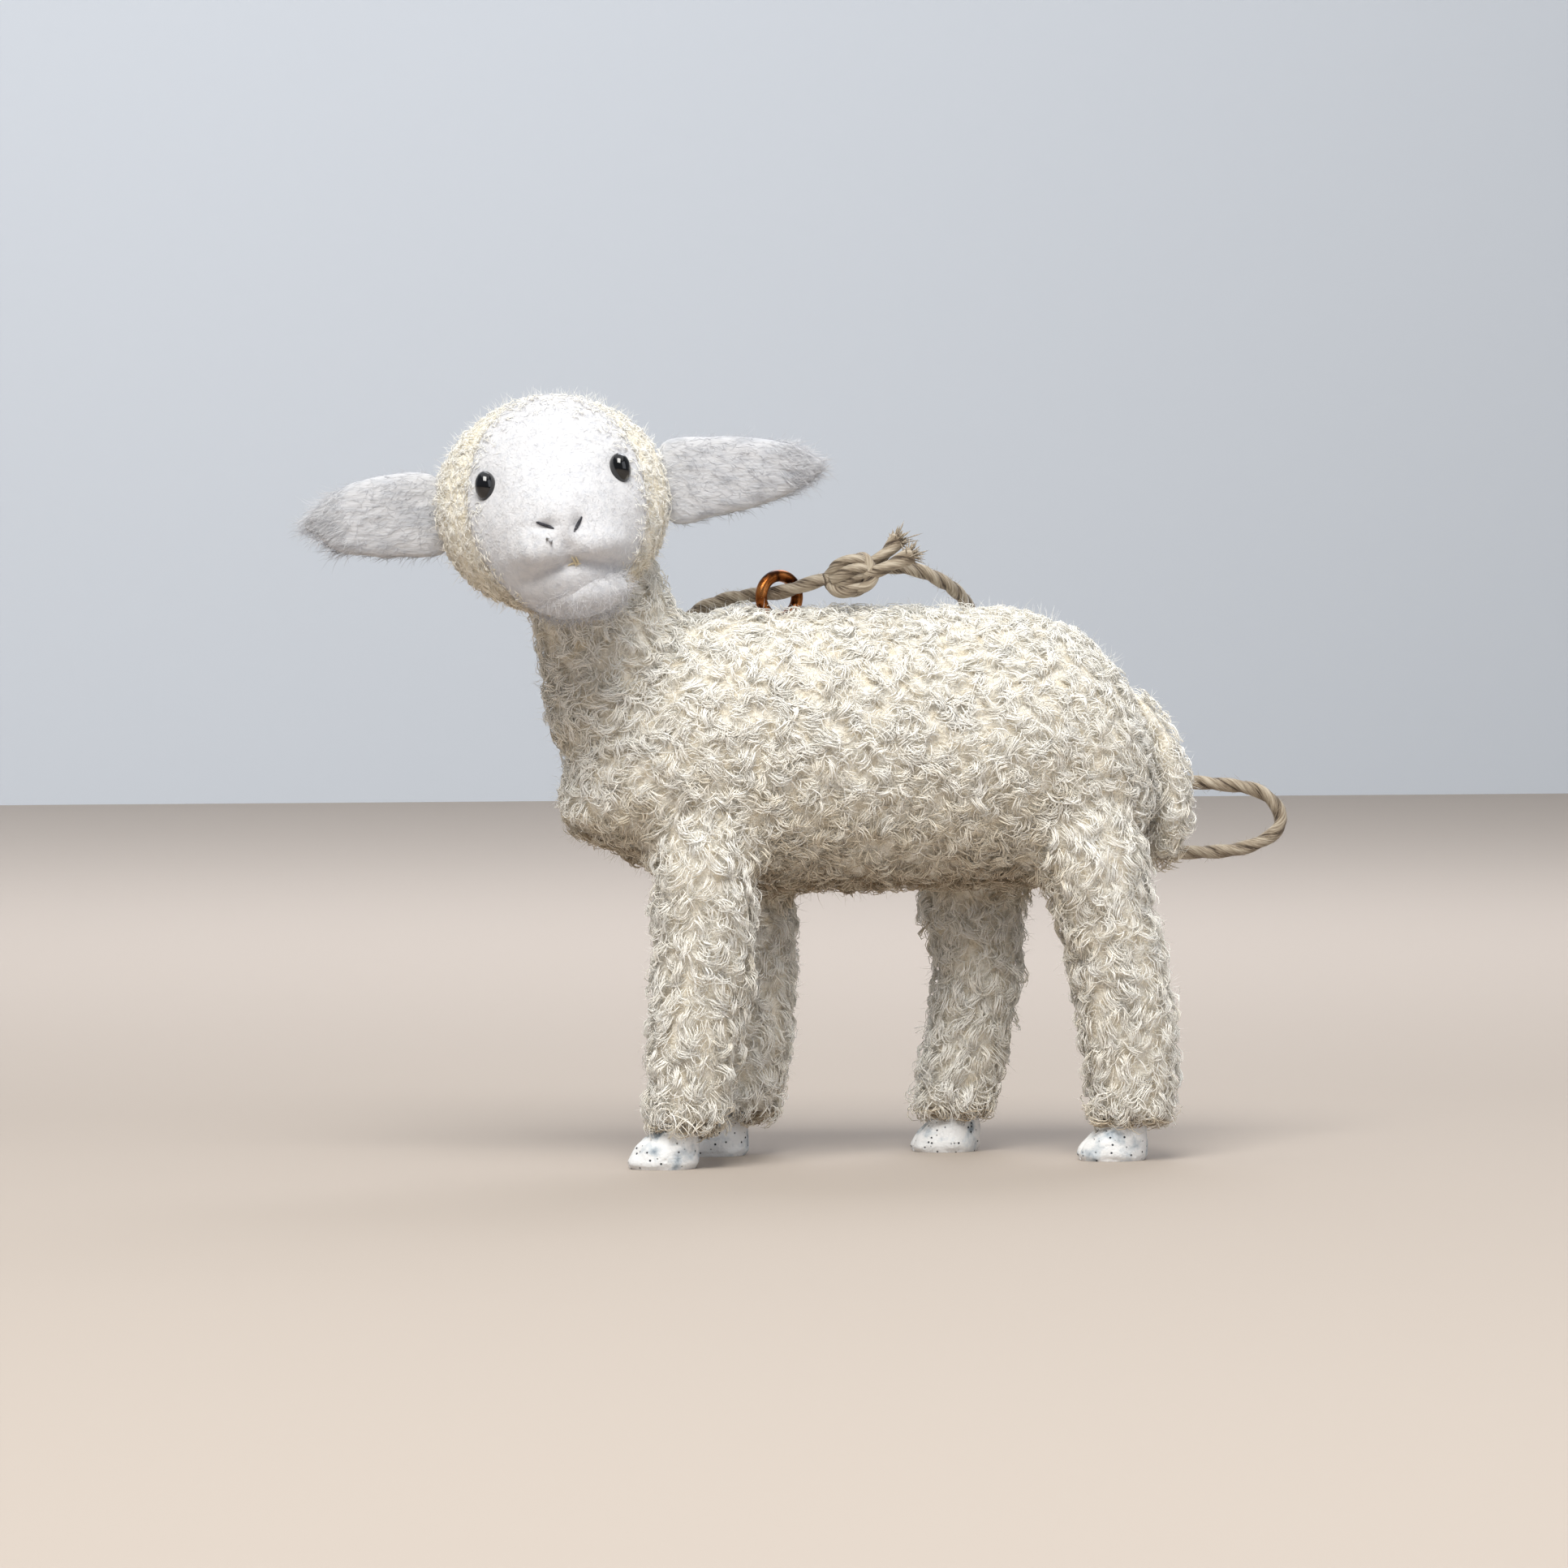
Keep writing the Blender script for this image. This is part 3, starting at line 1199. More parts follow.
@dataclass
class Fleece:
    """The body's fleece: backing panels cut along the flanks, and the curls that grow on them."""

    inset: float = 1.4
    thick: float = 0.8
    voxel: float = 0.8
    lump: float = 0.3
    seam: float = 6.0  # how far from a seam the skin is softened
    tail_inset: float = 1.3
    tail_lump: float = 0.25
    tail_clear: float = 0.8  # the tail's curls start this far outside the torso
    head_clear: float = 2.4  # the neck's curls stop this deep inside the head
    eye_clear: float = 2.0  # no curls this near the screw eye's foot
    eye_foot: tuple[float, float, float] = (0.0, 0.0, -2.2)
    pile: Pile = Pile(4.3, radius=0.074, curl=(0.15, 0.55), steps=5)
    leg_pile: Pile = replace(
        pile, per_mm2=4.1, combed=(0.0, 0.0, -1.2), lock=2.0, length=(2.8, 4.8), rise=(0.12, 0.22)
    )
    tail_pile: Pile = replace(pile, per_mm2=4.1, combed=(0.0, 0.0, -0.7))
    cuff_pile: Pile = Pile(
        1.6, radius=0.09, combed=(0.0, 0.0, -0.5), lock=2.4, length=(3.2, 5.6), rise=(0.14, 0.24)
    )
    cuff_top: float = 10.0
    cut: float = 6.0  # the torso's panels are parted this far behind the skin's middle
    halo: Fuzz = Fuzz(0.8, 2.3, 0.03, 0.4)

    def build(self, shop: Workshop) -> None:
        """Makes every panel and its curls.

        Args:
            shop: makes the pieces.
        """
        forms = [form.grown(-self.inset) for form in (TORSO, NECK, *(leg.loft() for leg in LEGS))]
        skin = melted([form.shell(80, 48) for form in forms], self.voxel, 14)
        nearest = np.sort(np.stack([form.level(skin.points) for form in forms]), axis=0)
        seam = np.clip(1 - (nearest[1] - nearest[0]) / self.seam, 0, 1)
        skin = relaxed(skin, 0.5 * seam, 90)
        skin = skin.raised(self.lump * ripple(skin.points, (3.2, 5.0), 5))
        middle = skin.middles()
        region = np.stack([form.level(middle) for form in forms]).argmin(0)
        in_head = HEAD.level(HEAD_FRAME.back(middle)) < -self.head_clear
        from_eye = np.linalg.norm(middle - EYE_AT - self.eye_foot, axis=1)
        bare = in_head | (from_eye < self.eye_clear)
        middle_x = (middle[:, 0].min() + middle[:, 0].max()) / 2 + self.cut
        for side, flank in (("left", middle[:, 1] < 0), ("right", middle[:, 1] >= 0)):
            for end, along in (("fore", middle[:, 0] < middle_x), ("hind", middle[:, 0] >= middle_x)):
                patch = (region == 0) & flank & along
                self.panel(shop, skin, patch, bare, f"torso_{side}_{end}", "torso_cover", self.pile)
        self.panel(shop, skin, region == 1, bare, "neck", "neck_cover", self.pile)
        for number, leg in enumerate(LEGS, 2):
            patch, name = region == number, leg.name
            self.panel(shop, skin, patch, bare, f"{name}_leg", f"{name}_cover", self.leg_pile)
        self.tail(shop)

    def panel(
        self,
        shop: Workshop,
        skin: Shell,
        patch: np.ndarray,
        bare: np.ndarray,
        name: str,
        cover: str,
        pile: Pile,
    ) -> None:
        """Makes one panel of backing and the curls and loose hairs on it.

        Args:
            shop: makes the pieces.
            skin: the whole body's skin.
            patch: which of its triangles are this panel's.
            bare: which of its triangles stay without curls.
            name: what its pieces' names start with.
            cover: the CAD node that it replaces.
            pile: how its curls grow.
        """
        backing = walled(Shell(skin.points, skin.faces[patch]), self.thick)
        shop.piece(backing, f"{name}_backing", BODY_BACKING, stands_for=(cover,))
        turf = turf_of(skin, patch & ~bare)
        shop.grow(turf, pile, f"{name}_curls", BODY_CURLS)
        ankle = patch & (skin.middles()[:, 2] < self.cuff_top)
        if ankle.any():
            shop.grow(turf_of(skin, ankle), self.cuff_pile, f"{name}_cuff_curls", BODY_CURLS)
        shop.fuzz(turf, self.halo, f"{name}_flyaways", BODY_CURLS)

    def tail(self, shop: Workshop) -> None:
        """Makes the tail's sleeve and its curls, which swing with it.

        Args:
            shop: makes the pieces.
        """
        sleeve = TAIL_FORM.grown(-self.tail_inset).shell(40, 28)
        sleeve = sleeve.raised(self.tail_lump * ripple(sleeve.points, (3.0,), 8))
        shop.piece(sleeve, "tail_backing", BODY_BACKING, Body.TAIL, ("tail_cover",))
        middle = sleeve.middles()
        turf = turf_of(sleeve, TORSO.level(middle) > self.tail_clear)
        shop.grow(turf, self.tail_pile, "tail_curls", BODY_CURLS, Body.TAIL)
        shop.fuzz(turf, self.halo, "tail_flyaways", BODY_CURLS, Body.TAIL)


@dataclass
class Head:
    """The hood of fleece, the felt face with its beads and stitches, and the two felt ears."""

    oval_at: tuple[float, float] = (1.0, -0.4)
    oval_half: tuple[float, float] = (12.4, 15.7)
    oval_tuck: float = 0.955
    centre: tuple[float, float, float] = (0.5, 1.5, -1.0)
    muzzle: tuple[float, float, float] = (0.0, -23.0, -5.0)
    hood_inset: float = 0.9
    voxel: float = 0.7
    border_from: float = 0.78  # shares of the way to the hood's edge where curls begin
    rim_from: float = 0.9
    face_grid: tuple[int, int] = (90, 128)
    chin_at: tuple[float, float, float] = (2.3, -15.4, -12.8)
    chin_half: tuple[float, float, float] = (6.7, 5.2, 3.5)
    hood_pile: Pile = Pile(
        5.4, length=(1.0, 2.0), curl=(0.05, 0.35), rise=(0.06, 0.13), lock=1.2, radius=0.062,
        jitter=0.4, tone=(0.7, 1.0), steps=4,
    )
    rim_pile: Pile = replace(
        hood_pile, per_mm2=4.0, rise=(0.05, 0.12), radius=0.06, jitter=0.5, combed=(0.0, 0.0, 0.0),
        tone=(0.6, 1.0),
    )
    eyes: tuple = (("left_eye", 10.1, 3.2), ("right_eye", -8.3, 3.2))
    bead: float = 1.75
    bead_shape: tuple[float, float, float] = (0.86, 1.0, 1.22)
    nostrils: tuple = (
        ((-1.9, -2.6), (-0.7, -3.2), (0.4, -3.8)),
        ((3.0, -4.6), (3.6, -3.7), (4.3, -2.7)),
    )
    lips: tuple = (
        ((2.2, -7.9), (2.5, -8.6), (2.6, -9.3)),
        ((2.7, -8.0), (2.9, -8.7), (2.8, -9.2)),
        ((1.5, -9.0), (2.3, -8.8), (3.3, -9.0)),
    )
    mouth: tuple = ((-5.2, -10.8), (-2.0, -9.7), (2.5, -8.9), (6.4, -9.5), (10.0, -10.6))

    def front(self, x: np.ndarray, z: np.ndarray) -> np.ndarray:
        """The y of the head's foremost point over each (x, z), found along the loft's rows.

        Args:
            x: places across the face, in its own frame.
            z: places up it.

        Returns:
            The y of each.
        """
        rows = smooth_through(HEAD.keys, 500)[::-1]
        across = (x[..., None] - rows[:, 0]) / rows[:, 3]
        upward = (z[..., None] - rows[:, 2]) / rows[:, 4]
        return rows[(np.hypot(across, upward) <= 1).argmax(-1), 1]

    def edge(self, turn: np.ndarray) -> np.ndarray:
        """Directions from the head's middle to the hood's edge, an oval seen from the front.

        Args:
            turn: angles round the oval.

        Returns:
            A unit direction for each.
        """
        x = self.oval_at[0] + self.oval_half[0] * np.cos(turn)
        z = self.oval_at[1] + self.oval_half[1] * np.sin(turn)
        foremost = np.minimum(self.front(x * self.oval_tuck, z * self.oval_tuck), -1.0)
        return unit(np.stack([x, foremost, z], -1) - self.centre)

    def edge_share(self, local: np.ndarray) -> np.ndarray:
        """How far each point is from the muzzle towards the hood's edge: 1 is on the edge.

        It is the angle between the directions of the point and the muzzle from the head's middle,
        over the same angle for the edge on the same side of the muzzle.

        Args:
            local: points in the head's frame.

        Returns:
            The shares.
        """
        muzzle = unit(np.array(self.muzzle) - self.centre)
        level = unit(np.cross(muzzle, Z_AXIS))
        upward = np.cross(level, muzzle)
        side = lambda d: np.arctan2(d @ upward, d @ level)
        reach = lambda d: np.arccos(np.clip(d @ muzzle, -1, 1))
        edge = self.edge(circle(720))
        towards = unit(local - self.centre)
        return reach(towards) / np.interp(side(towards), side(edge), reach(edge), period=2 * np.pi)

    def hood(self, shop: Workshop) -> None:
        """Makes the hood's backing and its short curls.

        Args:
            shop: makes the pieces.
        """
        skin = melted([HEAD.grown(-self.hood_inset).shell(80, 56)], self.voxel, 6)
        middle = skin.middles()
        share = self.edge_share(middle)
        keep, grown_over = share > 0.99, share > 0.94
        placed = HEAD_FRAME.place(skin)
        backing = walled(Shell(placed.points, placed.faces[keep]), 0.8)
        shop.piece(backing, "hood_backing", HOOD_BACKING, stands_for=("hood",))
        side = np.abs(middle[:, 0])
        socket = (side > 14) & (np.abs(middle[:, 1] + 1) < 2.0) & (np.abs(middle[:, 2] - 0.6) < 5.0)
        off_neck = NECK.grown(-1.5).level(placed.middles()) > 0
        turf = turf_of(placed, grown_over & off_neck & ~socket)
        border = turf_of(placed, (share < 1.12) & grown_over)
        shop.fuzz(border, Fuzz(3.5, 1.3, 0.028, 0.6, 0.9), "hood_border_fuzz", FELT_HAIR)
        shop.grow(turf, self.hood_pile, "hood_curls", HOOD_CURLS)
        shop.fuzz(turf, Fuzz(1.0, 1.7, 0.028, 0.4), "hood_flyaways", HOOD_CURLS)

    def face_points(self, radius: np.ndarray, turn: np.ndarray) -> np.ndarray:
        """Points on the face from a radius (1 is the hood's edge) and a turn.

        The direction from the head's middle runs from the muzzle's to the edge's as the radius
        grows, and the head's surface is found along it by halving.

        Args:
            radius: 0 at the muzzle, 1 at the edge.
            turn: the angle about the muzzle.

        Returns:
            Points in the head's frame.
        """
        centre, edge = np.array(self.centre), self.edge(turn)
        middle = unit(np.array(self.muzzle) - centre)
        cosine = np.clip((edge * middle).sum(-1), -1, 1)
        full = np.arccos(cosine)
        side = unit(edge - cosine[..., None] * middle)
        angle = (radius * full)[..., None]
        direction = np.cos(angle) * middle + np.sin(angle) * side
        low, high = np.zeros(radius.shape), np.full(radius.shape, 30.0)
        for _ in range(26):
            half = (low + high) / 2
            outside = HEAD.level(centre + direction * half[..., None]) > 0
            low, high = np.where(outside, low, half), np.where(outside, half, high)
        return centre + direction * low[..., None]

    def face_relief(self, p: np.ndarray) -> np.ndarray:
        """How far the felt stands out at each point, in millimetres.

        Soft hills for the muzzle's two pads and the chin, and soft valleys for the nostrils, the
        mouth and the eyes; each is a height times exp(-distance squared).

        Args:
            p: points in the head's frame.

        Returns:
            The heights.
        """
        x, z = p[:, 0], p[:, 2]
        across, upward = lambda c, w: ((x - c) / w) ** 2, lambda c, h: ((z - c) / h) ** 2
        hill = lambda cx, cz, w, h, high: high * np.exp(-across(cx, w) - upward(cz, h))
        front = np.clip((-p[:, 1] - 8) / 6, 0, 1)
        total = hill(-2.4, -6.6, 3.2, 2.2, 1.3) + hill(6.4, -6.6, 3.2, 2.3, 1.3)
        total += hill(1.6, -1.4, 2.4, 3.0, 0.8) + hill(1.8, -13.2, 6.5, 2.6, 1.0)
        mouth = smooth_through(np.array(self.mouth), 60)
        mouth_z = np.interp(x, mouth[:, 0], mouth[:, 1])
        total -= 1.2 * np.exp(-(((z - mouth_z) / 1.0) ** 2) - ((x - 2.4) / 7.0) ** 4)
        nostrils = hill(-0.8, -3.4, 1.5, 0.7, 0.8), hill(3.7, -3.7, 1.0, 1.1, 0.8)
        total -= hill(2.0, -7.0, 0.9, 1.7, 0.6) + nostrils[0] + nostrils[1]
        total *= front
        for _, ex, ez in self.eyes:
            total -= hill(ex, ez, 2.6, 2.4, 0.45)
        return total + 0.12 * ripple(p, (2.2, 4.0), 3)

    def face(self, shop: Workshop) -> None:
        """Makes the felt face as a grid of radius and turn, its edge tucked under the hood.

        Args:
            shop: makes the pieces.
        """
        rows, columns = self.face_grid
        radius, turn = np.meshgrid(np.linspace(0.012, 1.04, rows), circle(columns), indexing="ij")
        points = self.face_points(radius, turn).reshape(-1, 3)
        centre = self.face_points(np.zeros(1), np.zeros(1))
        points = np.concatenate([points, centre])
        j = np.arange(columns)
        fan = np.stack([np.full(columns, rows * columns), j, (j + 1) % columns], -1)
        faces = np.concatenate([grid_faces(rows, columns)[:, ::-1], fan])
        shell = Shell(points, faces)
        if (corner_normals(shell)[-1] * [0, -1, 0]).sum() < 0:
            shell.faces = shell.faces[:, ::-1]
        tucked = 0.4 * np.append(np.clip((radius.ravel() - 0.96) / 0.09, 0, 1), 0.0)
        shell = shell.raised(self.face_relief(points) - tucked)
        placed = HEAD_FRAME.place(shell)
        piece = shop.piece(walled(placed, 1.0), "face_felt", FACE_FELT, stands_for=("face_pad",))
        middle = shell.middles()
        clear = np.ones(len(middle), dtype=bool)
        for _, ex, ez in self.eyes:
            clear &= np.hypot(middle[:, 0] - ex, middle[:, 2] - ez) > 1.9
        share = np.append(radius.ravel(), 0.0)[shell.faces].mean(1)
        shop.grow(turf_of(placed, share > self.rim_from), self.rim_pile, "hood_rim_curls", HOOD_CURLS)
        sparse = replace(self.rim_pile, per_mm2=1.5, tone=(0.8, 1.0))
        border = turf_of(placed, (share > self.border_from) & (share <= self.rim_from) & clear)
        shop.grow(border, sparse, "face_border_curls", HOOD_CURLS)
        shop.fuzz(turf_of(placed, clear), Fuzz(3.0, 1.0, 0.02, 0.8, 1.0), "face_fuzz", FELT_HAIR)

    def chin(self, shop: Workshop) -> None:
        """Makes the puffed tuft of felt under the mouth.

        Args:
            shop: makes the pieces.
        """
        ball = ball_rings(30, 40)[..., [1, 0, 2]] * [-1, 1, 1]
        shell = outward(closed_tube(ball * self.chin_half + self.chin_at))
        shell = shell.raised(0.35 * ripple(shell.points, (2.4, 3.6), 12))
        placed = HEAD_FRAME.place(shell)
        shop.piece(placed, "chin_tuft", FACE_FELT, stands_for=("chin_pad",))
        turf = turf_of(placed, HEAD.level(shell.middles()) > 0)
        shop.fuzz(turf, Fuzz(6.0, 2.0, 0.028, 0.6, 1.0, (0.0, 0.0, -0.6)), "chin_fuzz", FELT_HAIR)

    def beads(self, shop: Workshop) -> None:
        """Makes the two glass beads, slightly taller than wide, on their wire pins.

        Args:
            shop: makes the pieces.
        """
        for name, x, z in self.eyes:
            y = float(self.front(np.array(x), np.array(z))) + 0.3
            shell = closed_tube(ball_rings(34, 40) * self.bead * self.bead_shape + [x, y, z])
            shop.piece(HEAD_FRAME.place(outward(shell)), name + "_bead", BEAD, stands_for=(name,))

    def on_face(self, xz: np.ndarray, proud: float) -> np.ndarray:
        """Points on the felt over each (x, z), standing proud by some millimetres.

        Args:
            xz: (x, z) places.
            proud: how far they stand out.

        Returns:
            The points in the head's frame.
        """
        line = np.stack([xz[:, 0], self.front(xz[:, 0], xz[:, 1]), xz[:, 1]], -1)
        line[:, 1] -= self.face_relief(line) + proud
        return line

    def stitches(self, shop: Workshop) -> None:
        """Makes the nostrils' two dark stitches, and the pale one at the middle of the mouth.

        Args:
            shop: makes the pieces.
        """
        marks = [tube(*self.stitch(np.array(keys), 0.24, 0.05), 8) for keys in self.nostrils]
        dark = Shell.join([HEAD_FRAME.place(mark) for mark in marks])
        shop.piece(dark, "nose_thread", DARK_THREAD, stands_for=("nose_stitch",))
        knots = [tube(*self.stitch(np.array(keys), 0.15, 0.3), 8) for keys in self.lips]
        pale = Shell.join([HEAD_FRAME.place(knot) for knot in knots])
        shop.piece(pale, "mouth_thread", PALE_THREAD, stands_for=("mouth_stitch",))

    def stitch(
        self, keys: np.ndarray, radius: float, proud: float
    ) -> tuple[np.ndarray, np.ndarray]:
        """A stitch's line over the felt, and its radius, thick in the middle.

        Args:
            keys: (x, z) places that the stitch passes through.
            radius: its radius at the middle.
            proud: how far its line stands out of the felt.

        Returns:
            The line and the radius at each of its points.
        """
        line = self.on_face(smooth_through(keys.astype(float), 40), proud)
        taper = np.sin(np.linspace(0.12, np.pi - 0.12, len(line))) ** 0.5
        return line, radius * taper * (1 + 0.2 * np.sin(np.arange(len(line)) * 1.9))

    def build(self, shop: Workshop) -> None:
        """Makes the whole head but for its ears."""
        self.hood(shop)
        self.face(shop)
        self.chin(shop)
        self.beads(shop)
        self.stitches(shop)


def ball_rings(along: int, around: int) -> np.ndarray:
    """Rings of a unit ball about Y, its poles left out: (sin s cos t, -cos s, sin s sin t).

    Args:
        along: rings from pole to pole, counting the two poles.
        around: points on each ring.

    Returns:
        Points as (along, around, 3).
    """
    turn = np.linspace(0, np.pi, along)[1:-1, None]
    angle = circle(around)
    level = -np.cos(turn) * np.ones(around)
    return np.stack([np.sin(turn) * np.cos(angle), level, np.sin(turn) * np.sin(angle)], -1)


def outward(shell: Shell) -> Shell:
    """Turns a closed shell's faces out, if its signed volume is negative."""
    a, b, c = (shell.points[shell.faces[:, n]] for n in range(3))
    volume = (np.cross(a, b) * c).sum()
    if volume > 0:
        return shell
    return Shell(shell.points, shell.faces[:, ::-1], shell.uv, shell.values)


def carried(path: np.ndarray) -> tuple[np.ndarray, np.ndarray, np.ndarray]:
    """A frame carried along a path without twisting: its direction and two directions across.

    The second direction starts level and each next one is the last, less its share along the path.

    Args:
        path: the points.

    Returns:
        The three unit directions at each point.
    """
    ahead = unit(np.gradient(path, axis=0))
    first = np.cross(ahead[0], Z_AXIS if abs(ahead[0, 2]) < 0.9 else X_AXIS)
    side = np.zeros_like(path)
    side[0] = unit(first)
    for n in range(1, len(path)):
        side[n] = unit(side[n - 1] - (side[n - 1] @ ahead[n]) * ahead[n])
    return ahead, side, np.cross(ahead, side)


def tube(path: np.ndarray, radius: np.ndarray, around: int) -> Shell:
    """A round closed tube along a path, with a radius at each point.

    Args:
        path: the points.
        radius: the radius at each point.
        around: points around the section.

    Returns:
        The closed shell.
    """
    _, side, other = carried(path)
    turn = circle(around)
    rings = path[:, None] + radius[:, None, None] * (
        np.cos(turn)[:, None] * side[:, None] + np.sin(turn)[:, None] * other[:, None]
    )
    return outward(closed_tube(rings))


@dataclass(frozen=True)
class Ear:
    """A leaf of needle felt: its upper and lower outline out from the head, and its thickness."""

    name: str
    side: int
    upper: tuple
    lower: tuple
    thick: tuple
    out: tuple[float, float]
    y: float = -1.0
    tip: float = 6.0
    grid: tuple[int, int] = (80, 56)

    def build(self, shop: Workshop) -> None:
        """Makes the ear's grid of distance out and turn, and its fine hairs.

        At each distance the section is an ellipse between the two outlines, its front pressed in a
        little so that the ear is cupped.

        Args:
            shop: makes the pieces.
        """
        rows, columns = self.grid
        share = np.linspace(0, 1, rows)
        out = self.out[0] + (self.out[1] - self.out[0]) * share
        soften = lambda v: np.convolve(np.pad(v, 4, mode="edge"), np.ones(9) / 9, "valid")
        lines = (np.array(line, dtype=float).T for line in (self.upper, self.lower, self.thick))
        top, low, thick = (soften(np.interp(out, *line)) for line in lines)
        turn = circle(columns)
        middle, half = (top + low) / 2, (top - low) / 2
        z = middle[:, None] + half[:, None] * np.sin(turn)
        bulge = np.sign(np.cos(turn)) * np.abs(np.cos(turn)) ** 0.8
        cup = 0.28 * thick[:, None] * np.cos(turn) ** 2 * (np.cos(turn) < 0)
        y = self.y + thick[:, None] * bulge + cup
        x = self.side * out[:, None] * np.ones(columns)
        shell = outward(closed_tube(np.stack([x, y, z], -1)))
        ridges = ripple(shell.points * [0.45, 1, 1], (1.6, 2.8), 21 + self.side)
        shell = shell.raised(0.16 * ridges)
        placed = Shell(HEAD_FRAME.out(shell.points), shell.faces, shell.uv)
        name, body = self.name, Body(self.name)
        shop.piece(placed, f"{name}_felt", EAR_FELT, body, (name,))
        turf = turf_of(placed)
        combed = tuple(HEAD_FRAME.matrix() @ [1.6 * self.side, 0.0, -0.5])
        shop.fuzz(turf, Fuzz(4.0, 1.7, 0.026, 0.86, 0.5, combed), f"{name}_fuzz", FELT_HAIR, body)
        tip = turf.only(np.abs(shell.middles()[:, 0]) > self.out[1] - self.tip)
        combed = tuple(HEAD_FRAME.matrix() @ [2.4 * self.side, 0.0, -0.9])
        tuft = Fuzz(7.0, 2.3, 0.03, 0.75, 0.85, combed)
        shop.fuzz(tip, tuft, f"{name}_tip_tuft", FELT_HAIR, body)


EARS = (
    Ear(
        "left_ear", 1,
        (
            (14.5, 3.6), (15.2, 5.6), (17, 6.5), (20.5, 6.4), (27.3, 5.5), (31.6, 4.3), (34.9, 3),
            (36.6, 1.6), (37.5, 0.4),
        ),
        (
            (14.5, -2.8), (15.2, -4.8), (17, -5.5), (22.9, -4.9), (28.9, -4.3), (33.1, -3),
            (36, -1.9), (37.5, -0.3),
        ),
        ((14.5, 0.8), (17.5, 1.7), (20, 2.2), (26, 2.2), (32, 1.9), (36, 1.3), (37.5, 0.5)),
        (14.5, 37.5),
    ),
    Ear(
        "right_ear", -1,
        (
            (14.5, 3.6), (15.2, 5.6), (16.6, 6.6), (19.7, 6.9), (24.2, 6.8), (27.8, 6.2),
            (31.5, 4.3), (33.4, 2.7), (34.4, 1.8),
        ),
        (
            (14.5, -2.8), (15.2, -4.8), (16.9, -5.3), (23.8, -4.4), (30.5, -2.9), (32.3, -0.9),
            (34.4, 1.2),
        ),
        ((14.5, 0.8), (17.5, 1.7), (20, 2.2), (26, 2.2), (30, 2.0), (33, 1.3), (34.4, 0.5)),
        (14.5, 34.4),
    ),
)


@dataclass
class Hooves:
    """Four cast plaster hooves, each a wedge with a rounded toe and a flat sole."""

    keys: tuple = (
        (0, 0, 4.6, 3.7), (0.1, 1, 5, 4), (0.7, 3, 4.4, 3.8), (1.8, 5, 3.2, 3.2),
        (2.4, 6.5, 2.2, 2.4),
    )

    def build(self, shop: Workshop) -> None:
        """Makes each hoof from level ellipses, with lumps, facets and pits in its sides.

        Args:
            shop: makes the pieces.
        """
        for number, leg in enumerate(LEGS):
            keys = [(leg.hoof + x, leg.y, z, a, b) for x, z, a, b in self.keys]
            form = lofted(keys, X_AXIS, Y_AXIS)
            shell = outward(closed_tube(form.rings(60, 90)))
            lumps = 0.22 * ripple(shell.points, (2.2, 3.8), 31 + number)
            lumps = lumps - 0.16 * pits(shell.points, 1.2, number)
            toe = np.clip((leg.hoof - 1.0 - shell.points[:, 0]) / 1.5, 0, 1)
            lumps = lumps - 0.7 * toe * np.exp(-(((shell.points[:, 1] - leg.y) / 0.45) ** 2))
            above = np.clip(shell.points[:, 2] / 0.5, 0, 1)
            shell = shell.raised(lumps * above)
            shell.points[:, 2] = np.maximum(shell.points[:, 2], 0.0)
            name = f"{leg.name}_hoof"
            shop.piece(shell, f"{name}_cast", HOOF_PLASTER, stands_for=(name,))


def pits(points: np.ndarray, size: float, salt: int) -> np.ndarray:
    """Small round dents, 1 at the middle of each: one sits in some cells of a jittered lattice."""
    number, centre = locks(points, size, 700 + salt)
    deep = (scramble(number, 900 + salt) < 0.35) * 1.0
    return deep * np.exp(-((np.linalg.norm(points - centre, axis=1) / 0.28) ** 2))


@dataclass
class ScrewEye:
    """A coppered screw eye: a closed ring of wire over a shank with a cut thread."""

    wire: float = 1.7
    outer: float = 7.6
    turn: float = 20.0
    shank: float = 11.0
    pitch: float = 1.1
    ring_grid: tuple[int, int] = (96, 28)

    def build(self, shop: Workshop) -> None:
        """Makes the ring as a grid of two turns, and the shank as a grid with a helical thread.

        Args:
            shop: makes the pieces.
        """
        ring_r, wire_r = (self.outer - self.wire) / 2, self.wire / 2
        rows, columns = self.ring_grid
        a, b = np.meshgrid(circle(rows), circle(columns), indexing="ij")
        reach = ring_r + wire_r * np.cos(b)
        points = np.stack([reach * np.cos(a), wire_r * np.sin(b), reach * np.sin(a)], -1)
        points = points.reshape(-1, 3) @ turned(self.turn, 2).T + EYE_AT
        ring = outward(Shell(points, grid_faces(rows + 1, columns) % (rows * columns)))
        top = EYE_AT[2] - self.outer / 2 + wire_r + 0.2
        down = np.linspace(0, self.shank + 0.2, 150)
        down, turn = np.meshgrid(down, circle(24), indexing="ij")
        radius = np.interp(down, [0, 1.4, 9.2, self.shank], [wire_r, wire_r, 0.72, 0.26])
        cut = np.clip((down - 2.2) / 0.8, 0, 1)
        thread = 0.16 * np.cos(2 * np.pi * down / self.pitch - turn) * cut
        radius = np.minimum(radius, radius + thread - 0.02)
        x, y = EYE_AT[0] + radius * np.cos(turn), EYE_AT[1] + radius * np.sin(turn)
        rod = outward(closed_tube(np.stack([x, y, top - down], -1)))
        shell = Shell.join([ring, Shell(rod.points, rod.faces)])
        shop.piece(shell, "screw_eye_ring", COPPER, stands_for=("screw_eye",))


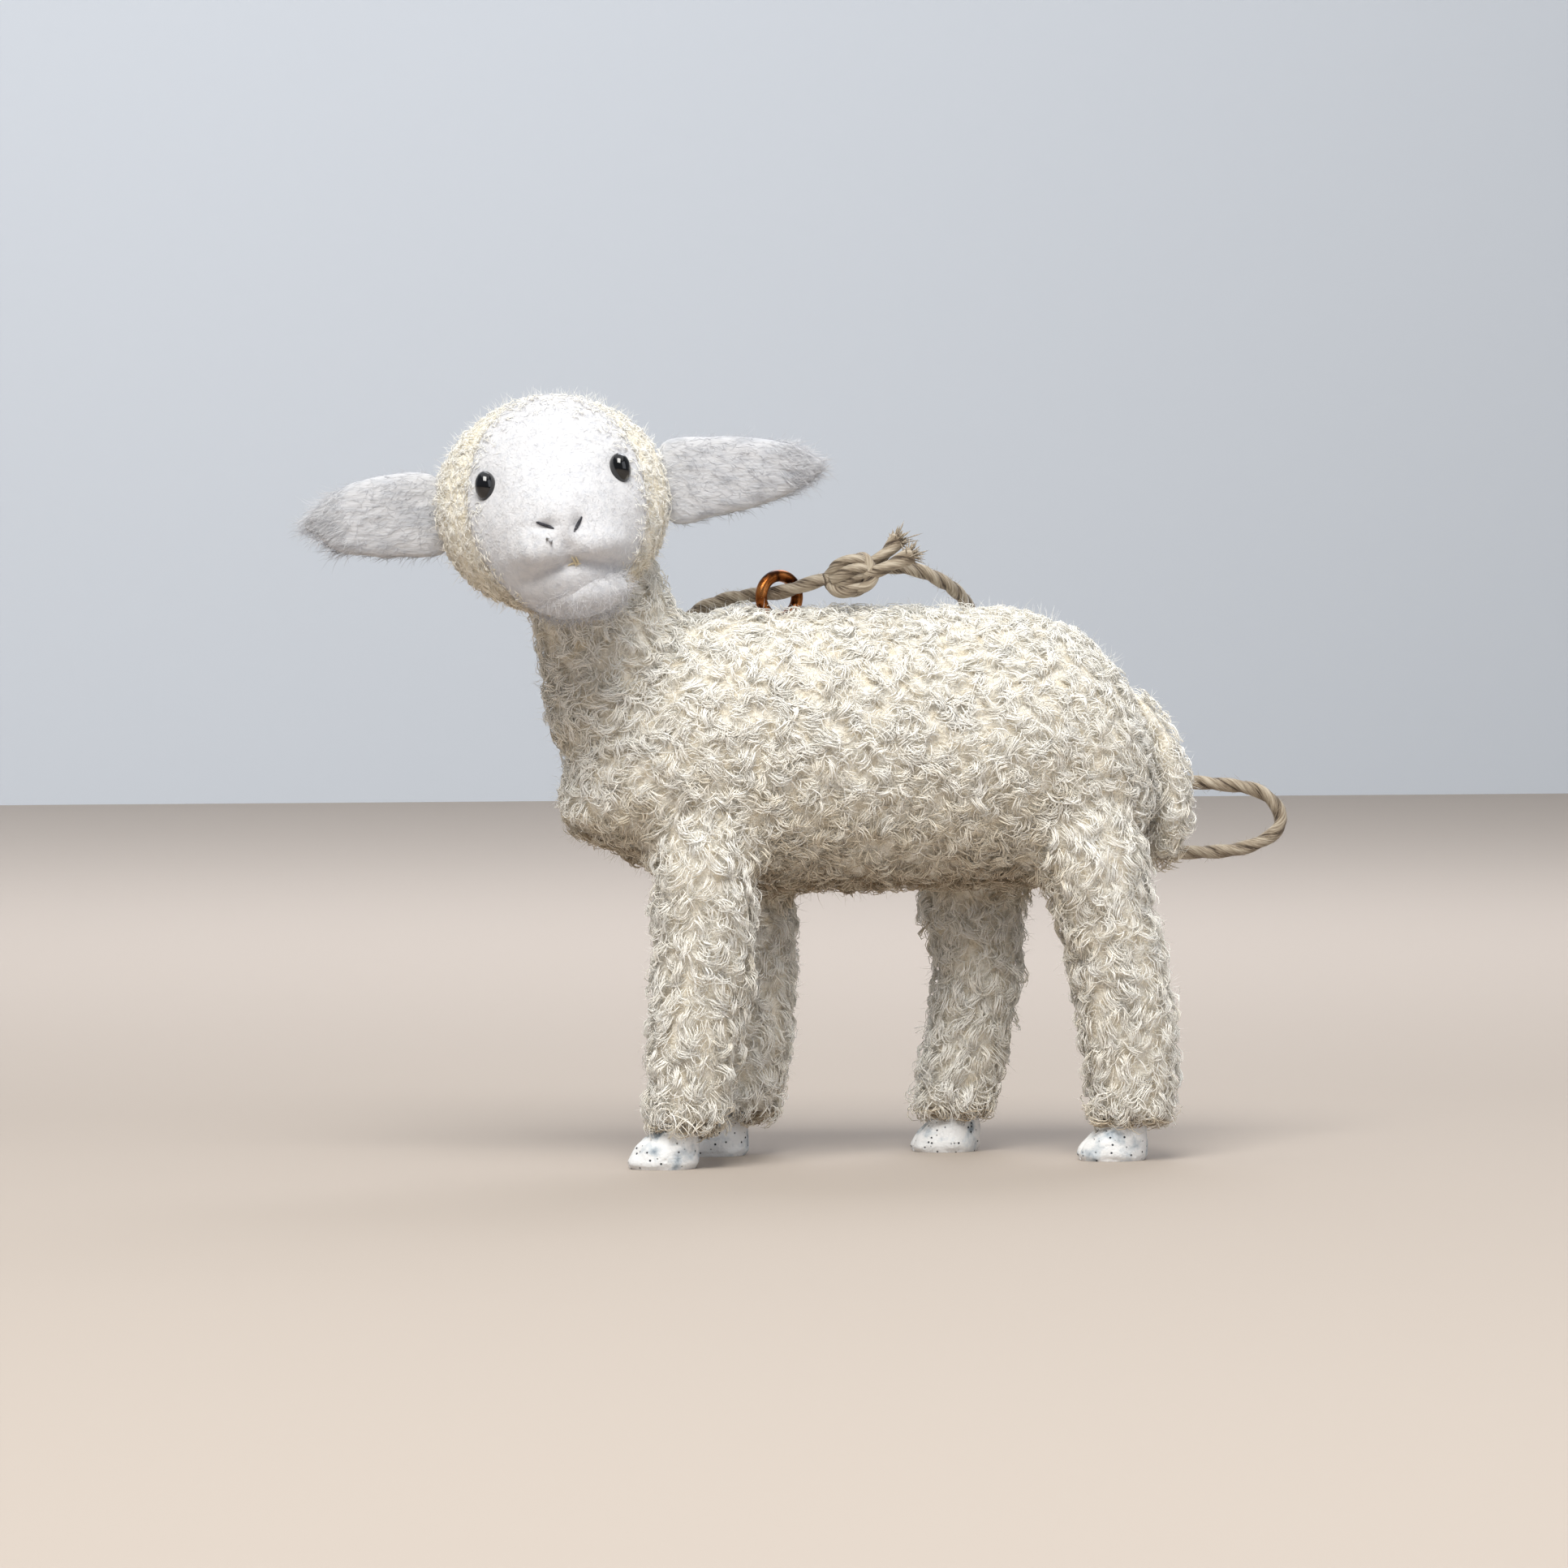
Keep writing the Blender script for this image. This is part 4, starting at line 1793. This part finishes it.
ROUTE = np.array([
    [5.2, -2.2, 81.4], [2.2, -1.6, 80.4], [-0.7, 0, 79.5], [-4.2, 2.6, 79.1], [-8.2, 5.8, 78.2],
    [-11.4, 9.6, 76], [-12.4, 14.2, 71], [-10.8, 17.8, 64.4], [-5.6, 19.8, 57], [2.4, 20.6, 50.6],
    [12.6, 20.4, 46.2], [24.6, 20.2, 43.8], [37, 19.6, 42.4], [49, 17.6, 41.8], [60, 14.8, 41.9],
    [69.4, 12.8, 42.4], [74.8, 12, 44.8], [75.4, 12, 48], [72.2, 12.4, 50.9], [65.6, 13.8, 51.9],
    [57, 15.8, 52.4], [49.6, 17.6, 54], [43.2, 18.8, 58], [38.4, 18.8, 64], [34.4, 17, 70.2],
    [30.4, 12.6, 75.6], [27.4, 7.8, 78.8], [23.6, 3.6, 81.0], [19, 1, 82.7], [13.6, -0.6, 83.2],
])


@dataclass
class Twine:
    """The hanging loop: two-ply twine through the ring, tied in a knot with two short ends."""

    radius: float = 1.0
    lay: float = 8.4
    knot_at: tuple = (9.1, -1.4, 81.9)
    # the knot's strands: the one inside, the upper lobe's two, the wrap at the right, the lower
    # loop and the one that fills the middle
    strands: tuple = (
        ((-3.9, -0.8, -0.5), (-2.0, -0.3, -0.3), (0.4, 0.0, 0.2), (2.6, 0.4, 0.9), (4.5, 0.8, 1.3)),
        ((-2.9, -0.4, 0.0), (-2.2, -1.5, 1.2), (-0.4, -1.9, 2.0), (1.2, -1.5, 2.2), (2.2, -0.2, 1.8),
            (2.4, 1.0, 0.8)),
        ((-2.7, -1.2, -0.7), (-1.5, -2.1, 0.2), (0.2, -2.3, 0.8), (1.7, -1.7, 1.0), (2.6, -0.4, 0.6)),
        ((0.9, 0.9, 2.2), (1.9, -1.1, 2.2), (2.8, -2.1, 0.6), (2.3, -2.2, -1.0), (0.9, -1.4, -2.0),
            (0.1, 0.6, -1.9), (0.1, 1.6, 0.2), (0.6, 1.2, 1.8)),
        ((1.2, -1.3, -1.4), (-0.4, -1.9, -2.1), (-2.0, -1.5, -2.2), (-2.9, -0.6, -1.3),
            (-2.6, 0.4, -0.2), (-1.2, 0.9, 0.4)),
        ((-2.4, -0.9, -1.2), (-0.9, -1.7, -0.8), (0.7, -1.8, -0.3), (1.9, -1.2, 0.5)),
    )

    def ply(
        self, path: np.ndarray, radius: float, around: int = 20, taper: np.ndarray | None = None
    ) -> Shell:
        """Two yarns twisted together, as one closed tube.

        A section's radius is that of two touching circles seen from their middle, and it turns
        once for each lay along the path.

        Args:
            path: evenly spaced points in millimetres.
            radius: the twine's radius.
            around: points around the section.
            taper: a scale of the radius at each point.

        Returns:
            The shell, with "groove" and "yarn" attributes.
        """
        _, side, other = carried(path)
        along = np.concatenate([[0], np.cumsum(np.linalg.norm(np.diff(path, axis=0), axis=1))])
        turn = circle(around)
        spin = turn[None] - (2 * np.pi * along / self.lay)[:, None]
        back = np.abs(np.cos(spin))
        reach = radius * (0.76 + 0.26 * back**0.7) * (1 if taper is None else taper[:, None])
        c, s = np.cos(turn)[None, :, None], np.sin(turn)[None, :, None]
        rings = path[:, None] + reach[..., None] * (c * side[:, None] + s * other[:, None])
        shell = outward(closed_tube(rings))
        down = np.repeat(along[:, None] * 0.2, around, 1)
        yarn = np.stack([np.cos(spin) * 1.25, np.sin(spin) * 1.25, down], -1).reshape(-1, 3)
        groove = np.append(back.ravel(), [0.3, 0.3])
        shell.values = {"groove": groove, "yarn": np.concatenate([yarn, np.zeros((2, 3))])}
        return shell

    def loop(self, shop: Workshop, knotted: list[bpy.types.Object]) -> None:
        """Args:
            shop: makes the pieces.
            knotted: the pieces of the knot and its ends, which go with the cord.
        """
        path = evenly(smooth_through(ROUTE, 1200), 0.3)
        rope = self.ply(path, self.radius)
        piece = shop.piece(rope, "twine_loop", TWINE, stands_for=("hang_cord",))
        turf = turf_of(rope)
        turf = Turf(turf.corners + PLACE, turf.normals)
        hairs = flyaways(turf, Fuzz(0.9, 0.8, 0.025, 0.7), shop.rng)
        hairs.values = {"groove": np.full(len(hairs.points), 0.9), "yarn": hairs.points / MM}
        shop.piece(hairs, "twine_hairs", TWINE, metres=True)

    def knot(self, shop: Workshop) -> bpy.types.Object:
        """Makes the overhand knot: strands wound round the two that enter it.

        Args:
            shop: makes the pieces.

        Returns:
            The piece.
        """
        paths = [evenly(smooth_through(np.array(keys), 90), 0.2) for keys in self.strands]
        plies = [self.ply(path + self.knot_at, 0.95, 18) for path in paths]
        return shop.piece(Shell.join(plies), "twine_knot", TWINE, stands_for=("cord_knot",))

    def frays(self, shop: Workshop) -> list[bpy.types.Object]:
        """Makes the two short cut ends, whose fibres splay apart.

        Args:
            shop: makes the pieces.

        Returns:
            The two pieces.
        """
        ends = {
            "cord_end_a": [
                [10.6, -1.8, 82.6], [12.6, -2.6, 83.9], [14.2, -2.8, 85.2], [15.8, -2.7, 87],
            ],
            "cord_end_b": [
                [10.6, -3.0, 81.9], [12.8, -4.2, 82.6], [15.0, -4.8, 83.7], [17.2, -4.8, 84.7],
            ],
        }
        made = []
        for name, keys in ends.items():
            path = evenly(smooth_through(np.array(keys, dtype=float), 60), 0.25)
            swell = 1 + 0.4 * np.linspace(0, 1, len(path)) ** 3
            body = self.ply(path, 0.9, 16, swell)
            tip, ahead = path[-1], unit(path[-1] - path[-4])
            count = 110
            spread = shop.rng.normal(0, 0.3, (count, 3))
            root = tip - ahead * 0.7 + unit(spread) * shop.rng.uniform(0.1, 1.0, (count, 1))
            t = np.linspace(0, 1, 5)[None, :, None]
            size = shop.rng.uniform(0.5, 1.5, (count, 1, 1))
            line = root[:, None] + size * t * (ahead + spread[:, None] * (0.5 + t))
            across, even = unit(np.cross(ahead + spread, Z_AXIS + 0.01)), np.ones((count, 5))
            hairs = fibre_tubes(line, 0.11 * even, across, even)
            yarn = np.repeat(hairs.points[:, :1], 3, 1)
            hairs.values = {"groove": np.full(len(hairs.points), 0.8), "yarn": yarn}
            whole = Shell.join([body, outward(hairs)])
            title = name.replace("cord_end", "twine_end")
            made.append(shop.piece(whole, title, TWINE, stands_for=(name,)))
        return made

    def build(self, shop: Workshop) -> None:
        """Makes the knot and the ends, then the loop that they close."""
        self.loop(shop, [self.knot(shop), *self.frays(shop)])


@dataclass
class Core:
    """The parts inside: they keep their own shapes and get their finishes."""

    finishes: dict[str, Finish] = field(default_factory=lambda: {
        "core": FOAM, "wrapping": BATTING, "stuffing": BATTING, "wire": WIRE, "plug": PEG,
    })

    def build(self, shop: Workshop, nodes: dict[str, bpy.types.Object]) -> None:
        """Gives each inner node the finish that its name's last word calls for.

        Args:
            shop: makes the pieces.
            nodes: the frame's own objects by name.
        """
        for name, node in nodes.items():
            finish = self.finishes.get(name.split("_")[-1])
            if name == "neck_core":
                finish = BATTING
            if finish is not None and not node.hide_render:
                node.data.materials.clear()
                node.data.materials.append(shop.material(finish))


@dataclass
class Studio:
    """The camera, a pale floor and soft light."""

    aim: tuple[float, float, float] = (3.95, 4.73, 52.7)
    azimuth: float = -12.0
    elevation: float = 1.9
    distance: float = 950.0
    lens: float = 155.8
    reach: float = 3000.0
    wall_y: float = 1400.0

    def build(self) -> None:
        """Makes them all."""
        self.camera()
        self.backdrop()
        self.light("key_light", (-200, -540, 840), 560, 11.4, "#fffdf8")
        self.light("ceiling_light", (0, 0, 2400), 3500, 24.0, "#ffffff")
        self.light("fill_light", (560, -620, 420), 620, 1.3, "#eef3fb")
        self.light("rim_light", (250, 560, 720), 460, 3.0, "#f6f8ff")
        self.light("wall_light", (0, 500, 900), 900, 8.2, "#f4f8ff", (0, 1400, 500))
        world = bpy.data.worlds.new("soft_room")
        world.use_nodes = True
        back = world.node_tree.nodes["Background"]
        back.inputs["Color"].default_value = linear("#dde3ea")
        back.inputs["Strength"].default_value = 0.24
        bpy.context.scene.world = world
        bpy.context.scene.view_settings.view_transform = "Standard"

    def camera(self) -> None:
        """Places the camera on its azimuth and elevation about the aim."""
        az, el = math.radians(self.azimuth), math.radians(self.elevation)
        away = np.array([math.sin(az) * math.cos(el), -math.cos(az) * math.cos(el), math.sin(el)])
        camera = bpy.data.objects.new("camera", bpy.data.cameras.new("camera"))
        camera.data.lens, camera.data.sensor_width = self.lens, 36.0
        camera.data.clip_start, camera.data.clip_end = 0.01, 20.0
        camera.location = (np.array(self.aim) + away * self.distance) * MM
        camera.rotation_euler = (math.pi / 2 - el, 0.0, az)
        bpy.context.scene.collection.objects.link(camera)
        bpy.context.scene.camera = camera

    def backdrop(self) -> None:
        """Lays a plain pale floor and stands a plain pale wall well behind it."""
        far, back = self.reach, self.wall_y
        near, past = -far, back + 100
        floor = [(-far, near, 0), (far, near, 0), (far, past, 0), (-far, past, 0)]
        self.sheet("floor", floor, "#aea399")
        wall = [(-far, back, -10), (far, back, -10), (far, back, far), (-far, back, far)]
        self.sheet("wall", wall, "#d3d8de")

    @staticmethod
    def sheet(name: str, points: list, code: str) -> None:
        """Makes one flat matt sheet of the studio from its corners in millimetres.

        Args:
            name: its name.
            points: its corners in millimetres.
            code: its colour.
        """
        mesh = bpy.data.meshes.new(name)
        mesh.from_pydata((np.array(points, dtype=float) * MM).tolist(), [], [[0, 1, 2, 3]])
        material = bpy.data.materials.new(f"matt_paper_{name}")
        material.use_nodes = True
        shader = material.node_tree.nodes["Principled BSDF"]
        shader.inputs["Base Color"].default_value = linear(code)
        shader.inputs["Roughness"].default_value = 0.95
        mesh.materials.append(material)
        sheet = bpy.data.objects.new(name, mesh)
        bpy.context.scene.collection.objects.link(sheet)
        sheet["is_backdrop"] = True

    @staticmethod
    def light(
        name: str, at: tuple, size: float, power: float, code: str, towards: tuple = (0, 0, 50)
    ) -> None:
        """Hangs one square soft light.

        Args:
            name: its name.
            at: where its middle is, in millimetres.
            size: its side, in millimetres.
            power: in watts.
            code: its colour.
            towards: the place that it faces, in millimetres.
        """
        data = bpy.data.lights.new(name, "AREA")
        data.size, data.energy, data.color = size * MM, power, linear(code)[:3]
        light = bpy.data.objects.new(name, data)
        place = np.array(at, dtype=float)
        light.location = place * MM
        away = place - np.array(towards, dtype=float)
        flat = math.hypot(away[0], away[1])
        heading = math.atan2(away[1], away[0]) + math.pi / 2
        light.rotation_euler = (math.atan2(flat, away[2]), 0.0, heading)
        bpy.context.scene.collection.objects.link(light)


def corners() -> list[list[float]]:
    """The object's box as two lists of three numbers."""
    return [[float(v) for v in corner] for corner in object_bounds()]


def main() -> None:
    logging.basicConfig(level=logging.INFO, format="%(name)s %(message)s")
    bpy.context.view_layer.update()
    Studio().build()
    shop = Workshop(np.random.default_rng(11))
    Twine().build(shop)
    Fleece().build(shop)
    Head().build(shop)
    for ear in EARS:
        ear.build(shop)
    Hooves().build(shop)
    ScrewEye().build(shop)
    Core().build(shop, frame["nodes"])


if __name__ == "__main__":
    main()
